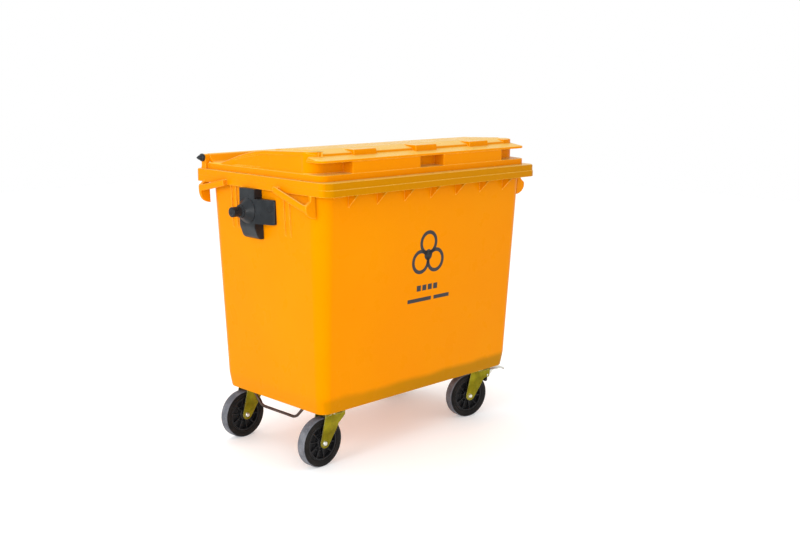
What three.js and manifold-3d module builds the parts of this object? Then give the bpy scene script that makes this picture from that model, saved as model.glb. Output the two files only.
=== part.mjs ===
// Four-wheeled waste container of the 660-litre class, with a hinged lid.
// Millimetres. +Z is up, X runs along the container, and -Y is its front.
// The origin is on the ground under the middle of the tub.
import * as THREE from 'three';
import { mergeVertices } from 'three/addons/utils/BufferGeometryUtils.js';
import Module from 'manifold-3d';

const wasm = await Module();
wasm.setup();

// ---------------------------------------------------------------- driving dimensions
const GAP = 0.3;                  // between separate pieces that rest on each other
const SKIN = 5;                   // moulded wall thickness
const CORNER_STEPS = 5;           // facets in a quarter turn of a large corner
const ROUND = 14;                 // facets round a small cylinder
const WHEEL_ROUND = 30;           // facets round a wheel
const BOLT_ROUND = 8;             // facets round a bolt or its hole

const tub = {
  base: 223,                      // lowest edge of the tub
  tuckHeight: 65,                 // the lowest band of the wall leans in further
  tuck: 6,
  halfLength: 558,                // wall size, drawn down to the base without the tuck
  halfDepth: 310,
  slopeX: 0.0496,                 // draft: how far the wall leans out per unit of height
  slopeY: 0.0446,
  cornerLow: 45,                  // corner radius at the base, growing to the one at the rim
  cornerHigh: 70,
  floorUnder: 235.3,
  floor: 6,
};
const rim = {
  top: 1142,
  height: 52,
  plate: 6,
  halfLength: 622,
  front: -405,
  rear: 405,
  corner: 45,
  rearCorner: 22,
  frontStep: 3,                   // the upper half of the front band is set back
};
const gusset = { count: 7, pitch: 152, width: 6, foot: 1035 };
const wallRibs = { y: [-168, -136, 160, 190], width: 8, stand: 6, foot: 912 };
const handle = {
  thick: 15,
  tall: 29,
  outside: 646,                   // the grip bars stand outside the rim
  front: { inner: -127, outer: -318, innerZ: 1097, outerZ: 1042 },
  rear: { inner: 194, outer: 355, innerZ: 1098, outerZ: 1066 },
  arm: 14,
  armFoot: 1003,
};
const hinge = { y: 361, z: 1188, rod: 6, lug: 14, barrel: 15, lugWidth: 22, lugs: [-602, -195, 195, 602] };
const cap = { radius: 16, length: 12, nub: 6, nubLength: 21 };
const lid = {
  bottom: rim.top + GAP,
  halfLength: 598,
  front: -298,
  rear: 345,
  corner: 55,
  flangeOut: 5,                   // the flange stands out from the end walls
  flangeFront: -355,
  flangeTop: 1166,
  flangeCorner: 40,
  deckFront: 1239,                // top of the front wall, from which the deck rises
  deckSlope: 45,                  // depth of that first, rising strip of the deck
  deck: 1250,                     // highest line; from here it falls a little towards the rear
  deckRear: 1241,
  valley: 1164,
  panelRise: 3,
  panelHalf: 555,
  lipLow: 1211,
  lipTop: 1221,                   // at the lip's edge; its top rises from there to the wall
  lipRise: 10,
  pushFrom: 68,                   // the front wall stands forward between these two
  pushTo: 440,
};
const trunnion = {
  y: 40, z: 1003, tip: 717, pin: 20,
  face: 640,                      // front face of the bracket
  barLow: 890, barHigh: 1090, barFront: -4, barRear: 90,
  wingFront: -87, wingLow: 955, wingHigh: 1052, wingEdge: 609,
  coneBase: 50, coneNeck: 28, coneEnd: 675,
};
const drain = { x: 0, y: 0, hole: 30, flange: 42, flangeThick: 6, sealThick: 3 };
const towBar = { x: -526, radius: 6, halfBottom: 108, bottomZ: 168, halfTop: 172, foot: 40, footThick: 5 };
const caster = {
  x: 447, y: 248, trail: 74,
  wheel: 100, halfTyre: 23, rimRadius: 72, hub: 22, bush: 10,
  axle: 6,
  plate: [112, 88], plateThick: 6, plateCorner: 14, plateTop: 235,
  bolts: [43, 32], bolt: 5,
  bearing: 36, crown: 42, crownTop: 216, crownThick: 8,
  legInner: 29, legThick: 5, legEnd: 20,
  kingpin: 8,
};
const brake = { x: 21, z: 185, pin: 4, reach: 122, plateFrom: 49, halfWidth: 28, plateZ: 203, plateThick: 3 };
const YAW = { front_right: -12.4, front_left: 0, rear_left: 0, rear_right: 0 };  // degrees at rest

const finish = (color, roughness, metalness = 0) => ({ color, roughness, metalness });
const YELLOW = finish('#f59d04', 0.42);
const BLACK_PLASTIC = finish('#191a1c', 0.5);
const RUBBER = finish('#2a2a2c', 0.8);
const WHEEL_PLASTIC = finish('#141416', 0.55);
const YELLOW_ZINC = finish('#8a8420', 0.4, 0.8);
const WHITE_ZINC = finish('#b9bcb6', 0.35, 0.9);
const DARK_STEEL = finish('#43362f', 0.5, 0.7);

// ---------------------------------------------------------------- solids and meshes
function signedVolume(position, index) {
  const [a, b, c] = [new THREE.Vector3(), new THREE.Vector3(), new THREE.Vector3()];
  let total = 0;
  for (let i = 0; i < index.length; i += 3) {
    a.fromBufferAttribute(position, index[i]);
    b.fromBufferAttribute(position, index[i + 1]);
    c.fromBufferAttribute(position, index[i + 2]);
    total += a.dot(b.cross(c)) / 6;
  }
  return total;
}

// A closed three.js geometry as a solid that can be joined and cut.
function solid(geometry) {
  const bare = new THREE.BufferGeometry();
  bare.setAttribute('position', geometry.getAttribute('position'));
  bare.setIndex(geometry.index);
  const merged = mergeVertices(bare, 1e-4);
  const { position } = merged.attributes;
  const triVerts = [];
  for (let i = 0; i < merged.index.count; i += 3) {
    const [a, b, c] = merged.index.array.slice(i, i + 3);
    if (a !== b && b !== c && c !== a) triVerts.push(a, b, c);
  }
  if (signedVolume(position, triVerts) < 0) triVerts.reverse();
  return new wasm.Manifold(new wasm.Mesh({
    numProp: 3,
    vertProperties: new Float32Array(position.array),
    triVerts: new Uint32Array(triVerts),
  }));
}

const join = (...parts) => parts.reduce((whole, part) => whole.add(part));
const cut = (whole, ...tools) => tools.reduce((rest, tool) => rest.subtract(tool), whole);
const mirrorX = (part) => part.mirror([1, 0, 0]);

// A named mesh from a solid.
function piece(name, shape, look) {
  const result = shape.getMesh();
  const points = new Float32Array(result.numVert * 3);
  for (let i = 0; i < result.numVert; i += 1) {
    points.set(result.vertProperties.slice(i * result.numProp, i * result.numProp + 3), i * 3);
  }
  const geometry = new THREE.BufferGeometry();
  geometry.setAttribute('position', new THREE.BufferAttribute(points, 3));
  geometry.setIndex([...result.triVerts]);
  geometry.computeVertexNormals();
  const mesh = new THREE.Mesh(geometry, new THREE.MeshStandardMaterial(look));
  mesh.name = name;
  return mesh;
}

function outline(points) {
  return new THREE.Shape(points.map(([x, y]) => new THREE.Vector2(x, y)));
}

function roundedRect(halfX, yLow, yHigh, radius, rearRadius = radius) {
  const shape = new THREE.Shape();
  shape.absarc(halfX - rearRadius, yHigh - rearRadius, rearRadius, 0, Math.PI / 2);
  shape.absarc(-halfX + rearRadius, yHigh - rearRadius, rearRadius, Math.PI / 2, Math.PI);
  shape.absarc(-halfX + radius, yLow + radius, radius, Math.PI, Math.PI * 1.5);
  shape.absarc(halfX - radius, yLow + radius, radius, Math.PI * 1.5, Math.PI * 2);
  return shape;
}

const extruded = (shape, depth, curveSegments) =>
  new THREE.ExtrudeGeometry(shape, { depth, bevelEnabled: false, curveSegments });

// A plan outline raised from zLow to zHigh.
function prism(shape, zLow, zHigh, steps = CORNER_STEPS) {
  return solid(extruded(shape, zHigh - zLow, steps).translate(0, 0, zLow));
}

// A prism whose plan changes from one outline to another of the same kind on the way up.
function tapered(lowShape, highShape, zLow, zHigh) {
  const geometry = extruded(lowShape, zHigh - zLow, CORNER_STEPS);
  const { position } = geometry.attributes;
  const upper = extruded(highShape, zHigh - zLow, CORNER_STEPS).attributes.position;
  for (let i = 0; i < position.count; i += 1) {
    if (position.getZ(i) > 0) position.setXY(i, upper.getX(i), upper.getY(i));
  }
  return solid(geometry.translate(0, 0, zLow));
}

// An outline drawn in Y and Z, running from xLow to xHigh.
function alongX(shape, xLow, xHigh, steps = CORNER_STEPS) {
  const turn = new THREE.Matrix4().makeBasis(
    new THREE.Vector3(0, 1, 0), new THREE.Vector3(0, 0, 1), new THREE.Vector3(1, 0, 0));
  return solid(extruded(shape, xHigh - xLow, steps).applyMatrix4(turn).translate(xLow, 0, 0));
}

// An outline drawn in X and Z, running from yLow to yHigh.
function alongY(shape, yLow, yHigh, steps = 3) {
  const turn = new THREE.Matrix4().makeBasis(
    new THREE.Vector3(1, 0, 0), new THREE.Vector3(0, 0, 1), new THREE.Vector3(0, -1, 0));
  return solid(extruded(shape, yHigh - yLow, steps).applyMatrix4(turn).translate(0, yHigh, 0));
}

function box(xLow, xHigh, yLow, yHigh, zLow, zHigh) {
  const geometry = new THREE.BoxGeometry(xHigh - xLow, yHigh - yLow, zHigh - zLow);
  return solid(geometry.translate((xLow + xHigh) / 2, (yLow + yHigh) / 2, (zLow + zHigh) / 2));
}

function rod(radius, length, axis, facets = ROUND) {
  const geometry = new THREE.CylinderGeometry(radius, radius, length, facets);
  if (axis === 'x') geometry.rotateZ(-Math.PI / 2);
  if (axis === 'z') geometry.rotateX(Math.PI / 2);
  return solid(geometry);
}

// A turned solid; the profile is [radius, height] points and starts and ends on the axis.
function turned(profile, axis, facets = ROUND) {
  const geometry = new THREE.LatheGeometry(profile.map(([r, h]) => new THREE.Vector2(r, h)), facets);
  if (axis === 'x') geometry.rotateZ(-Math.PI / 2);
  if (axis === 'z') geometry.rotateX(Math.PI / 2);
  return solid(geometry);
}

// ---------------------------------------------------------------- tub
const halfLengthAt = (z) => tub.halfLength + tub.slopeX * (z - tub.base);
const halfDepthAt = (z) => tub.halfDepth + tub.slopeY * (z - tub.base);

// The tub's outer form moved inwards by `inset`, from zLow up to zHigh.
function tubForm(inset, zLow, zHigh) {
  const knee = tub.base + tub.tuckHeight;
  const plan = (z) => {
    const tuck = tub.tuck * Math.max(0, (knee - z) / tub.tuckHeight);
    const rise = Math.max(0, z - tub.base) / (rim.top - tub.base);
    const y = halfDepthAt(z) - tuck - inset;
    const radius = tub.cornerLow + (tub.cornerHigh - tub.cornerLow) * rise - inset;
    return roundedRect(halfLengthAt(z) - tuck - inset, -y, y, radius);
  };
  if (zLow >= knee || zHigh <= knee) return tapered(plan(zLow), plan(zHigh), zLow, zHigh);
  return join(tapered(plan(zLow), plan(knee), zLow, knee), tapered(plan(knee), plan(zHigh), knee, zHigh));
}

function frontGusset(x) {
  const wallY = -halfDepthAt(gusset.foot);
  const shape = outline([
    [rim.front + 1, rim.top - rim.plate + 1],
    [rim.front + 1, rim.top - rim.height],
    [wallY + 1, gusset.foot],
    [wallY + 3, rim.top - rim.plate + 1],
  ]);
  return alongX(shape, x - gusset.width / 2, x + gusset.width / 2);
}

function endRib(y) {
  const high = rim.top - rim.plate + 1;
  const shape = outline([
    [halfLengthAt(high) - 2, high],
    [halfLengthAt(high) + wallRibs.stand, high],
    [halfLengthAt(wallRibs.foot + 20) + wallRibs.stand, wallRibs.foot + 20],
    [halfLengthAt(wallRibs.foot) - 2, wallRibs.foot],
  ]);
  return alongY(shape, y - wallRibs.width / 2, y + wallRibs.width / 2);
}

// One carrying handle: a sloping grip bar outside the rim, a link from its inner end to the rim,
// and an arm at its outer end that returns to the wall.
function endHandle({ inner, outer, innerZ, outerZ }) {
  const outwards = Math.sign(outer);
  const half = handle.tall / 2;
  const out = handle.outside;
  const bar = alongX(outline([
    [inner, innerZ - half],
    [inner, innerZ + half],
    [outer, outerZ + half],
    [outer, outerZ - half + 4],
    [outer - outwards * 8, outerZ - half - 2],
  ]), out - handle.thick, out);
  const linkLow = Math.min(inner, inner + outwards * handle.arm);
  const link = box(rim.halfLength - SKIN, out, linkLow, linkLow + handle.arm, innerZ - half + 4, innerZ + half);
  const wallX = halfLengthAt(handle.armFoot);
  const armShape = new THREE.Shape();
  armShape.moveTo(wallX - 2, handle.armFoot);
  armShape.quadraticCurveTo(out - 8, handle.armFoot + 12, out, outerZ - 6);
  armShape.lineTo(out, outerZ + half);
  armShape.lineTo(rim.halfLength, outerZ + half + 16);
  armShape.lineTo(rim.halfLength - 1, rim.top - rim.plate + 1);
  armShape.lineTo(halfLengthAt(rim.top) - 2, rim.top - rim.plate + 1);
  const armLow = Math.min(outer, outer - outwards * handle.arm);
  return join(bar, link, alongY(armShape, armLow, armLow + handle.arm));
}

function hingeLug(x) {
  const shape = new THREE.Shape();
  shape.moveTo(hinge.y - hinge.lug, rim.top - 2);
  shape.lineTo(hinge.y + hinge.lug + 4, rim.top - 2);
  shape.lineTo(hinge.y + hinge.lug, rim.top + 12);
  shape.absarc(hinge.y, hinge.z, hinge.lug, 0, Math.PI);
  return alongX(shape, x - hinge.lugWidth / 2, x + hinge.lugWidth / 2, 12);
}

function casterBoltPlaces(casterX, casterY) {
  const [dx, dy] = caster.bolts;
  return [[-dx, -dy], [dx, -dy], [dx, dy], [-dx, dy]].map(([x, y]) => [casterX + x, casterY + y]);
}

const casterPlaces = {
  front_left: [-caster.x, -caster.y],
  front_right: [caster.x, -caster.y],
  rear_left: [-caster.x, caster.y],
  rear_right: [caster.x, caster.y],
};

function makeTub() {
  const bandLow = rim.top - rim.height;
  const plan = (inset) => roundedRect(
    rim.halfLength - inset, rim.front + inset, rim.rear - inset, rim.corner - inset, rim.rearCorner - inset);
  const band = prism(plan(0), bandLow, rim.top);
  const channel = cut(
    prism(plan(SKIN), bandLow - 1, rim.top - rim.plate),
    tubForm(0, bandLow - 2, rim.top),
  );
  const gussets = [];
  for (let i = 0; i < gusset.count; i += 1) {
    gussets.push(frontGusset((i - (gusset.count - 1) / 2) * gusset.pitch));
  }
  const rightEnd = join(endHandle(handle.front), endHandle(handle.rear), ...wallRibs.y.map(endRib));

  let body = cut(join(tubForm(0, tub.base, rim.top), band), channel);
  body = join(body, ...gussets, rightEnd, mirrorX(rightEnd), ...hinge.lugs.map(hingeLug));
  const floorTop = tub.floorUnder + tub.floor;
  const stepBand = box(-rim.halfLength - 1, rim.halfLength + 1, rim.front - 1, rim.front + rim.frontStep,
    rim.top - rim.height / 2, rim.top + 1);
  const boltHoles = Object.values(casterPlaces).flatMap(([x, y]) => casterBoltPlaces(x, y))
    .map(([x, y]) => rod(caster.bolt + 0.5, 40, 'z', BOLT_ROUND).translate([x, y, tub.floorUnder]));
  return cut(
    body,
    tubForm(SKIN, floorTop, rim.top + 20),
    tubForm(SKIN, tub.base - 20, tub.floorUnder),
    stepBand,
    rod(hinge.rod + 0.4, 2 * rim.halfLength, 'x').translate([0, hinge.y, hinge.z]),
    rod(drain.hole, 40, 'z').translate([drain.x, drain.y, tub.floorUnder]),
    ...boltHoles,
  );
}

// ---------------------------------------------------------------- lid
// The lid's side profile: a deck that falls to a low valley in front of the hinge.
function lidProfile(inset) {
  const fallFrom = -60;
  const fallTo = 315;
  const front = lid.front + inset;
  const shape = new THREE.Shape();
  shape.moveTo(front, lid.bottom - 5);
  shape.lineTo(front, lid.deckFront - inset);
  shape.lineTo(front + lid.deckSlope, lid.deck - inset);
  shape.lineTo(fallFrom, lid.deckRear - inset);
  shape.bezierCurveTo(120, lid.deckRear - 1 - inset, 250, lid.valley - inset, fallTo, lid.valley - inset);
  shape.lineTo(lid.rear - inset, lid.valley - inset);
  shape.lineTo(lid.rear - inset, lid.bottom - 5);
  return shape;
}

// The closed form under the lid's curved top, moved inwards by `inset`.
function lidForm(inset, low) {
  const top = alongX(lidProfile(inset), -lid.halfLength, lid.halfLength, 10);
  const panelHalf = lid.panelHalf - inset;
  const panel = top.translate([0, 0, lid.panelRise])
    .intersect(box(-panelHalf, panelHalf, lid.front + lid.deckSlope + inset, 205 - inset, lid.valley, 1400));
  const plan = prism(
    roundedRect(lid.halfLength - inset, lid.front + inset, lid.rear - inset, lid.corner - inset),
    low, lid.deck + 2 * lid.panelRise);
  return join(top, panel).intersect(plan);
}

function lidFlange(inset, top) {
  const shape = roundedRect(lid.halfLength + lid.flangeOut - inset, lid.flangeFront + inset,
    lid.rear - inset, lid.flangeCorner - inset);
  return prism(shape, inset > 0 ? lid.bottom - 5 : lid.bottom, top);
}

// The two stretches of front wall that stand forward, flush with the lip.
function pushedWall(inset) {
  const wall = box(lid.pushFrom + inset, lid.pushTo - inset, lid.flangeFront + 3 + inset, lid.front + 6,
    lid.bottom - (inset > 0 ? 5 : 0), lid.lipLow + 3 - inset);
  return join(wall, mirrorX(wall));
}

function deckLug(x, halfWidth, frontY, top) {
  return alongX(outline([
    [frontY, lid.lipLow + 2],
    [frontY, top - 12],
    [frontY + 9, top],
    [lid.front + lid.deckSlope, top],
    [lid.front + lid.deckSlope, lid.lipLow + 2],
  ]), x - halfWidth, x + halfWidth);
}

// A corner of the deck that keeps its full height up to the lid's outline.
function cornerLug(xLow, xHigh) {
  return prism(roundedRect(lid.halfLength, lid.front, lid.rear, lid.corner), lid.lipTop, lid.deck - 1)
    .intersect(box(xLow, xHigh, lid.front - 1, lid.front + lid.deckSlope, lid.lipLow, 2000));
}

// The lip along the front: a flat strip whose top rises towards the lid's wall.
function frontLip() {
  const back = lid.front + 120;
  const edge = roundedRect(lid.halfLength + lid.flangeOut, lid.flangeFront, back, lid.flangeCorner);
  const wall = roundedRect(lid.halfLength - 1, lid.front + 1, back, lid.corner - 1);
  return join(prism(edge, lid.lipLow, lid.lipTop), tapered(edge, wall, lid.lipTop, lid.lipTop + lid.lipRise))
    .intersect(box(-700, 700, lid.flangeFront - 1, lid.front + 30, 0, 2000));
}

function hingeWeb(xLow, xHigh) {
  const shape = new THREE.Shape();
  shape.moveTo(318, lid.valley - SKIN + 1);
  shape.lineTo(hinge.y, hinge.z - hinge.barrel);
  shape.absarc(hinge.y, hinge.z, hinge.barrel, -Math.PI / 2, Math.PI / 2);
  shape.lineTo(hinge.y - 9, hinge.z + 13);
  shape.lineTo(314, lid.valley - 1);
  return alongX(shape, xLow, xHigh, 12);
}

function makeLid() {
  const clear = hinge.lugWidth / 2 + 1;
  const [outerLug, innerLug] = [hinge.lugs[3], hinge.lugs[2]];
  const webs = [
    hingeWeb(-outerLug + clear, -innerLug - clear),
    hingeWeb(-innerLug + clear, innerLug - clear),
    hingeWeb(innerLug + clear, outerLug - clear),
  ];
  const deckLugs = [
    deckLug(0, 62, lid.front - 20, lid.deck + 2),
    deckLug(-335, 60, lid.front - 12, lid.deck + 1),
    deckLug(335, 60, lid.front - 12, lid.deck + 1),
    cornerLug(-lid.halfLength - 1, 35 - lid.halfLength),
    cornerLug(lid.halfLength - 85, lid.halfLength + 1),
  ];
  const outer = join(
    lidForm(0, lid.bottom), lidFlange(0, lid.flangeTop), pushedWall(0), frontLip(), ...deckLugs, ...webs);
  return cut(
    outer,
    lidForm(SKIN, lid.bottom - 4),
    lidFlange(SKIN, lid.flangeTop - SKIN),
    pushedWall(SKIN),
    rod(hinge.rod + 0.5, 2 * rim.halfLength, 'x').translate([0, hinge.y, hinge.z]),
  );
}

// ---------------------------------------------------------------- hinge rod and caps
function makeHingeCap() {
  const shell = turned([
    [0, 0], [cap.radius, 0], [cap.radius, cap.length - 3], [cap.radius - 3, cap.length],
    [cap.nub, cap.length], [2, cap.length + cap.nubLength], [0, cap.length + cap.nubLength],
  ], 'x');
  return cut(shell, rod(hinge.rod + 0.4, 14, 'x'));
}

// ---------------------------------------------------------------- trunnion bracket (right-hand end)
function makeTrunnion() {
  const barShape = new THREE.Shape();
  barShape.moveTo(540, trunnion.barHigh);
  barShape.lineTo(540, trunnion.barLow);
  barShape.lineTo(603, trunnion.barLow);
  barShape.quadraticCurveTo(620, trunnion.barLow + 4, trunnion.face, trunnion.barLow + 58);
  barShape.lineTo(trunnion.face, trunnion.barHigh);
  const bar = alongY(barShape, trunnion.barFront, trunnion.barRear);
  const wing = prism(outline([
    [540, trunnion.wingFront],
    [trunnion.wingEdge, trunnion.wingFront],
    [trunnion.face, trunnion.barFront - 4],
    [trunnion.face, trunnion.barFront + 4],
    [540, trunnion.barFront + 4],
  ]), trunnion.wingLow, trunnion.wingHigh);
  const face = trunnion.face - 1;
  const spigot = turned([
    [0, face], [trunnion.coneBase, face], [trunnion.coneBase, face + 5], [trunnion.coneNeck, trunnion.coneEnd - 6],
    [trunnion.coneNeck, trunnion.coneEnd - 3], [trunnion.coneNeck - 5, trunnion.coneEnd - 3],
    [trunnion.coneNeck - 5, trunnion.coneEnd + 1], [trunnion.coneNeck - 3, trunnion.coneEnd + 1],
    [trunnion.coneNeck - 3, trunnion.coneEnd + 5], [trunnion.pin, trunnion.coneEnd + 5],
    [trunnion.pin, trunnion.tip - 4], [trunnion.pin - 4, trunnion.tip], [0, trunnion.tip],
  ], 'x', 20).translate([0, trunnion.y, trunnion.z]);
  return cut(join(bar, wing, spigot), tubForm(-GAP, tub.base + tub.tuckHeight, rim.top));
}

// ---------------------------------------------------------------- drain and tow bar
function makeDrainSeal() {
  const ring = rod(drain.flange, drain.sealThick, 'z');
  const top = tub.floorUnder - GAP;
  return cut(ring, rod(drain.hole, 20, 'z')).translate([drain.x, drain.y, top - drain.sealThick / 2]);
}

function makeDrainPlug() {
  const top = tub.floorUnder - GAP - drain.sealThick - GAP;
  const profile = [
    [0, top - drain.flangeThick], [drain.flange, top - drain.flangeThick], [drain.flange, top],
    [drain.hole - 1, top], [drain.hole - 1, tub.floorUnder + 4], [0, tub.floorUnder + 4],
  ];
  const grip = box(-22, 22, -3, 3, top - drain.flangeThick - 10, top - drain.flangeThick + 1);
  return join(turned(profile.map(([r, h]) => [r, -h]), 'z').mirror([0, 0, 1]), grip);
}

function makeTowBar() {
  const footZ = tub.floorUnder - GAP;
  const path = new THREE.CurvePath();
  const place = (y, z) => new THREE.Vector3(towBar.x, y, z);
  const top = footZ - towBar.footThick / 2;
  const bend = 14;
  const slopeY = towBar.halfTop - towBar.halfBottom;
  const reach = Math.hypot(slopeY, top - towBar.bottomZ);
  const onLeg = (side) => place(
    side * (towBar.halfBottom + (bend * slopeY) / reach),
    towBar.bottomZ + (bend * (top - towBar.bottomZ)) / reach);
  const corner = (side) => place(side * towBar.halfBottom, towBar.bottomZ);
  const onBase = (side) => place(side * (towBar.halfBottom - bend), towBar.bottomZ);
  path.add(new THREE.LineCurve3(place(-towBar.halfTop, top), onLeg(-1)));
  path.add(new THREE.QuadraticBezierCurve3(onLeg(-1), corner(-1), onBase(-1)));
  path.add(new THREE.LineCurve3(onBase(-1), onBase(1)));
  path.add(new THREE.QuadraticBezierCurve3(onBase(1), corner(1), onLeg(1)));
  path.add(new THREE.LineCurve3(onLeg(1), place(towBar.halfTop, top)));
  const section = new THREE.Shape().absarc(0, 0, towBar.radius, 0, Math.PI * 2);
  const bar = solid(new THREE.ExtrudeGeometry(section, {
    steps: 22, curveSegments: 8, bevelEnabled: false, extrudePath: path,
  }));
  const foot = (side) => {
    const y = side * towBar.halfTop;
    const half = towBar.foot / 2;
    return box(towBar.x - 14, towBar.x + 14, y - half, y + half, footZ - towBar.footThick, footZ);
  };
  return cut(join(bar, foot(-1), foot(1)), box(-700, 700, -400, 400, footZ, footZ + 40));
}

// ---------------------------------------------------------------- casters (about the swivel axis)
function makeTyre() {
  const { wheel, halfTyre, rimRadius } = caster;
  const side = [
    [rimRadius + GAP, 21], [wheel - 14, halfTyre], [wheel - 4, 20], [wheel, 15],
  ];
  const profile = [
    ...side.map(([r, y]) => [r, -y]),
    ...side.slice().reverse(),
    [rimRadius + GAP, -21],
  ];
  return turned(profile, 'y', WHEEL_ROUND);
}

function makeWheelCentre() {
  const { rimRadius, hub, bush } = caster;
  const blank = cut(
    rod(rimRadius, 40, 'y', WHEEL_ROUND),
    rod(rimRadius - 7, 100, 'y', ROUND),
  );
  const web = rod(rimRadius - 3, 8, 'y', ROUND);
  const hubBoss = rod(hub, 50, 'y', ROUND);
  const spokes = [];
  for (let i = 0; i < 5; i += 1) {
    spokes.push(box(hub - 3, rimRadius - 3, -3, 3, -3, 3).scale([1, 5, 1]).rotate([0, i * 72, 0]));
  }
  const bore = rod(bush + 0.5, 100, 'y', ROUND);
  return cut(join(blank, web, hubBoss, ...spokes), bore);
}

function makeBush() {
  return cut(rod(caster.bush, 52, 'y', ROUND), rod(caster.axle + 0.4, 100, 'y', ROUND));
}

function makeAxle() {
  const end = caster.legInner + caster.legThick + GAP;
  const head = rod(9, 5, 'y', 12);
  return join(
    rod(caster.axle, 2 * end + 2, 'y', ROUND),
    head.translate([0, end + 2.5, 0]),
    head.translate([0, -end - 2.5, 0]),
  );
}

function forkLeg(hasBrake) {
  const { trail, wheel, crownTop, legEnd } = caster;
  const shape = new THREE.Shape();
  shape.moveTo(-70, crownTop);
  shape.lineTo(-trail - legEnd, wheel + 2);
  shape.absarc(-trail, wheel, legEnd, Math.PI, Math.PI * 1.75);
  if (hasBrake) {
    shape.lineTo(brake.x - 24, 168);
    shape.lineTo(brake.x - 12, 174);
    shape.lineTo(brake.x + 12, 174);
    shape.lineTo(brake.x + 15, 200);
  } else {
    shape.lineTo(36, 192);
  }
  shape.lineTo(36, crownTop);
  return shape;
}

function makeFork(hasBrake) {
  const { legInner, legThick, crown, crownTop, crownThick, trail, wheel } = caster;
  const outer = legInner + legThick;
  const leg = forkLeg(hasBrake);
  const crownLow = crownTop - crownThick;
  const crownDisc = rod(crown, crownThick, 'z', 20).translate([0, 0, (crownLow + crownTop) / 2]);
  const fork = join(
    alongY(leg, legInner, outer),
    alongY(leg, -outer, -legInner),
    box(-70, 36, -outer, outer, crownLow, crownTop),
    crownDisc,
  );
  const holes = [
    rod(caster.axle + 0.4, 100, 'y').translate([-trail, 0, wheel]),
    rod(caster.kingpin + 0.5, 60, 'z').translate([0, 0, crownTop]),
  ];
  if (hasBrake) holes.push(rod(brake.pin + 0.4, 100, 'y').translate([brake.x, 0, brake.z]));
  return cut(fork, ...holes);
}

function makeBearing() {
  const low = caster.crownTop + GAP;
  const high = caster.plateTop - caster.plateThick - GAP;
  const ring = turned([
    [0, low], [caster.bearing, low], [caster.bearing, low + 4], [caster.bearing - 3, low + 6],
    [caster.bearing - 3, high], [0, high],
  ].map(([r, h]) => [r, -h]), 'z', ROUND).mirror([0, 0, 1]);
  return cut(ring, rod(caster.kingpin + 0.5, 60, 'z').translate([0, 0, high]));
}

function makePlate() {
  const [length, width] = caster.plate;
  const { plateTop, plateThick, kingpin, crownTop, crownThick } = caster;
  const low = plateTop - plateThick;
  const head = crownTop - crownThick - GAP;
  const holes = casterBoltPlaces(0, 0).map(([x, y]) =>
    rod(caster.bolt + 0.5, 40, 'z', BOLT_ROUND).translate([x, y, low]));
  const pin = rod(kingpin, low - head + 3, 'z').translate([0, 0, (low + head) / 2]);
  const rivet = rod(kingpin + 6, 3, 'z').translate([0, 0, head - 1.5]);
  const plate = prism(roundedRect(length / 2, -width / 2, width / 2, caster.plateCorner), low, plateTop, 3);
  return join(cut(plate, ...holes), pin, rivet);
}

function makeCasterBolt() {
  const headLow = tub.floorUnder + tub.floor + GAP;
  const nutHigh = caster.plateTop - caster.plateThick - GAP;
  const shank = rod(caster.bolt, headLow + 2 - (nutHigh - 9), 'z', BOLT_ROUND)
    .translate([0, 0, (headLow + 2 + nutHigh - 9) / 2]);
  const head = rod(9, 6, 'z', 6).translate([0, 0, headLow + 3]);
  const nut = rod(9, 7, 'z', 6).translate([0, 0, nutHigh - 3.5]);
  return join(shank, head, nut);
}

function makeBrakePedal() {
  const { x, z, pin, reach, plateFrom, halfWidth, plateZ, plateThick } = brake;
  const cheek = outline([
    [x - 7, z - 6], [x - 7, z + 9], [x + 20, plateZ + 1], [plateFrom + 16, plateZ + 1],
    [plateFrom + 4, plateZ - 6], [x + 12, z - 9],
  ]);
  return join(
    alongY(cheek, 21, 24),
    alongY(cheek, -24, -21),
    box(x + 20, reach, -halfWidth, halfWidth, plateZ, plateZ + plateThick),
    box(reach - 3, reach, -halfWidth, halfWidth, plateZ - 8, plateZ + 1),
    box(x - 4, x + 10, -22, 22, z - 9, z - 5),
    rod(pin, 2 * (caster.legInner + caster.legThick) + 3, 'y', 16).translate([x, 0, z]),
  );
}

function makeBrakeBlock() {
  const top = brake.z - 9 - GAP;
  return box(brake.x - 1.5, brake.x + 13, -17, 17, top - 26, top);
}

function makeCaster(name) {
  const hasBrake = name.endsWith('right');
  const [x, y] = casterPlaces[name];
  const whole = new THREE.Group();
  whole.position.set(x, y, 0);
  whole.add(piece(`caster_plate_${name}`, makePlate(), YELLOW_ZINC));
  casterBoltPlaces(0, 0).forEach(([boltX, boltY], i) => {
    const bolt = piece(`caster_bolt_${name}_${i + 1}`, makeCasterBolt(), WHITE_ZINC);
    bolt.position.set(boltX, boltY, 0);
    whole.add(bolt);
  });

  const swivel = new THREE.Group();
  swivel.rotation.z = THREE.MathUtils.degToRad(YAW[name]);
  swivel.add(piece(`swivel_bearing_${name}`, makeBearing(), YELLOW_ZINC));
  swivel.add(piece(`fork_${name}`, makeFork(hasBrake), YELLOW_ZINC));
  if (hasBrake) {
    swivel.add(piece(`brake_pedal_${name}`, makeBrakePedal(), WHITE_ZINC));
    swivel.add(piece(`brake_block_${name}`, makeBrakeBlock(), RUBBER));
  }

  const axleLine = new THREE.Group();
  axleLine.position.set(-caster.trail, 0, caster.wheel);
  axleLine.add(piece(`axle_${name}`, makeAxle(), WHITE_ZINC));
  axleLine.add(piece(`wheel_bush_${name}`, makeBush(), WHITE_ZINC));
  axleLine.add(piece(`wheel_centre_${name}`, makeWheelCentre(), WHEEL_PLASTIC));
  axleLine.add(piece(`tyre_${name}`, makeTyre(), RUBBER));
  swivel.add(axleLine);
  whole.add(swivel);
  return whole;
}

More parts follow.
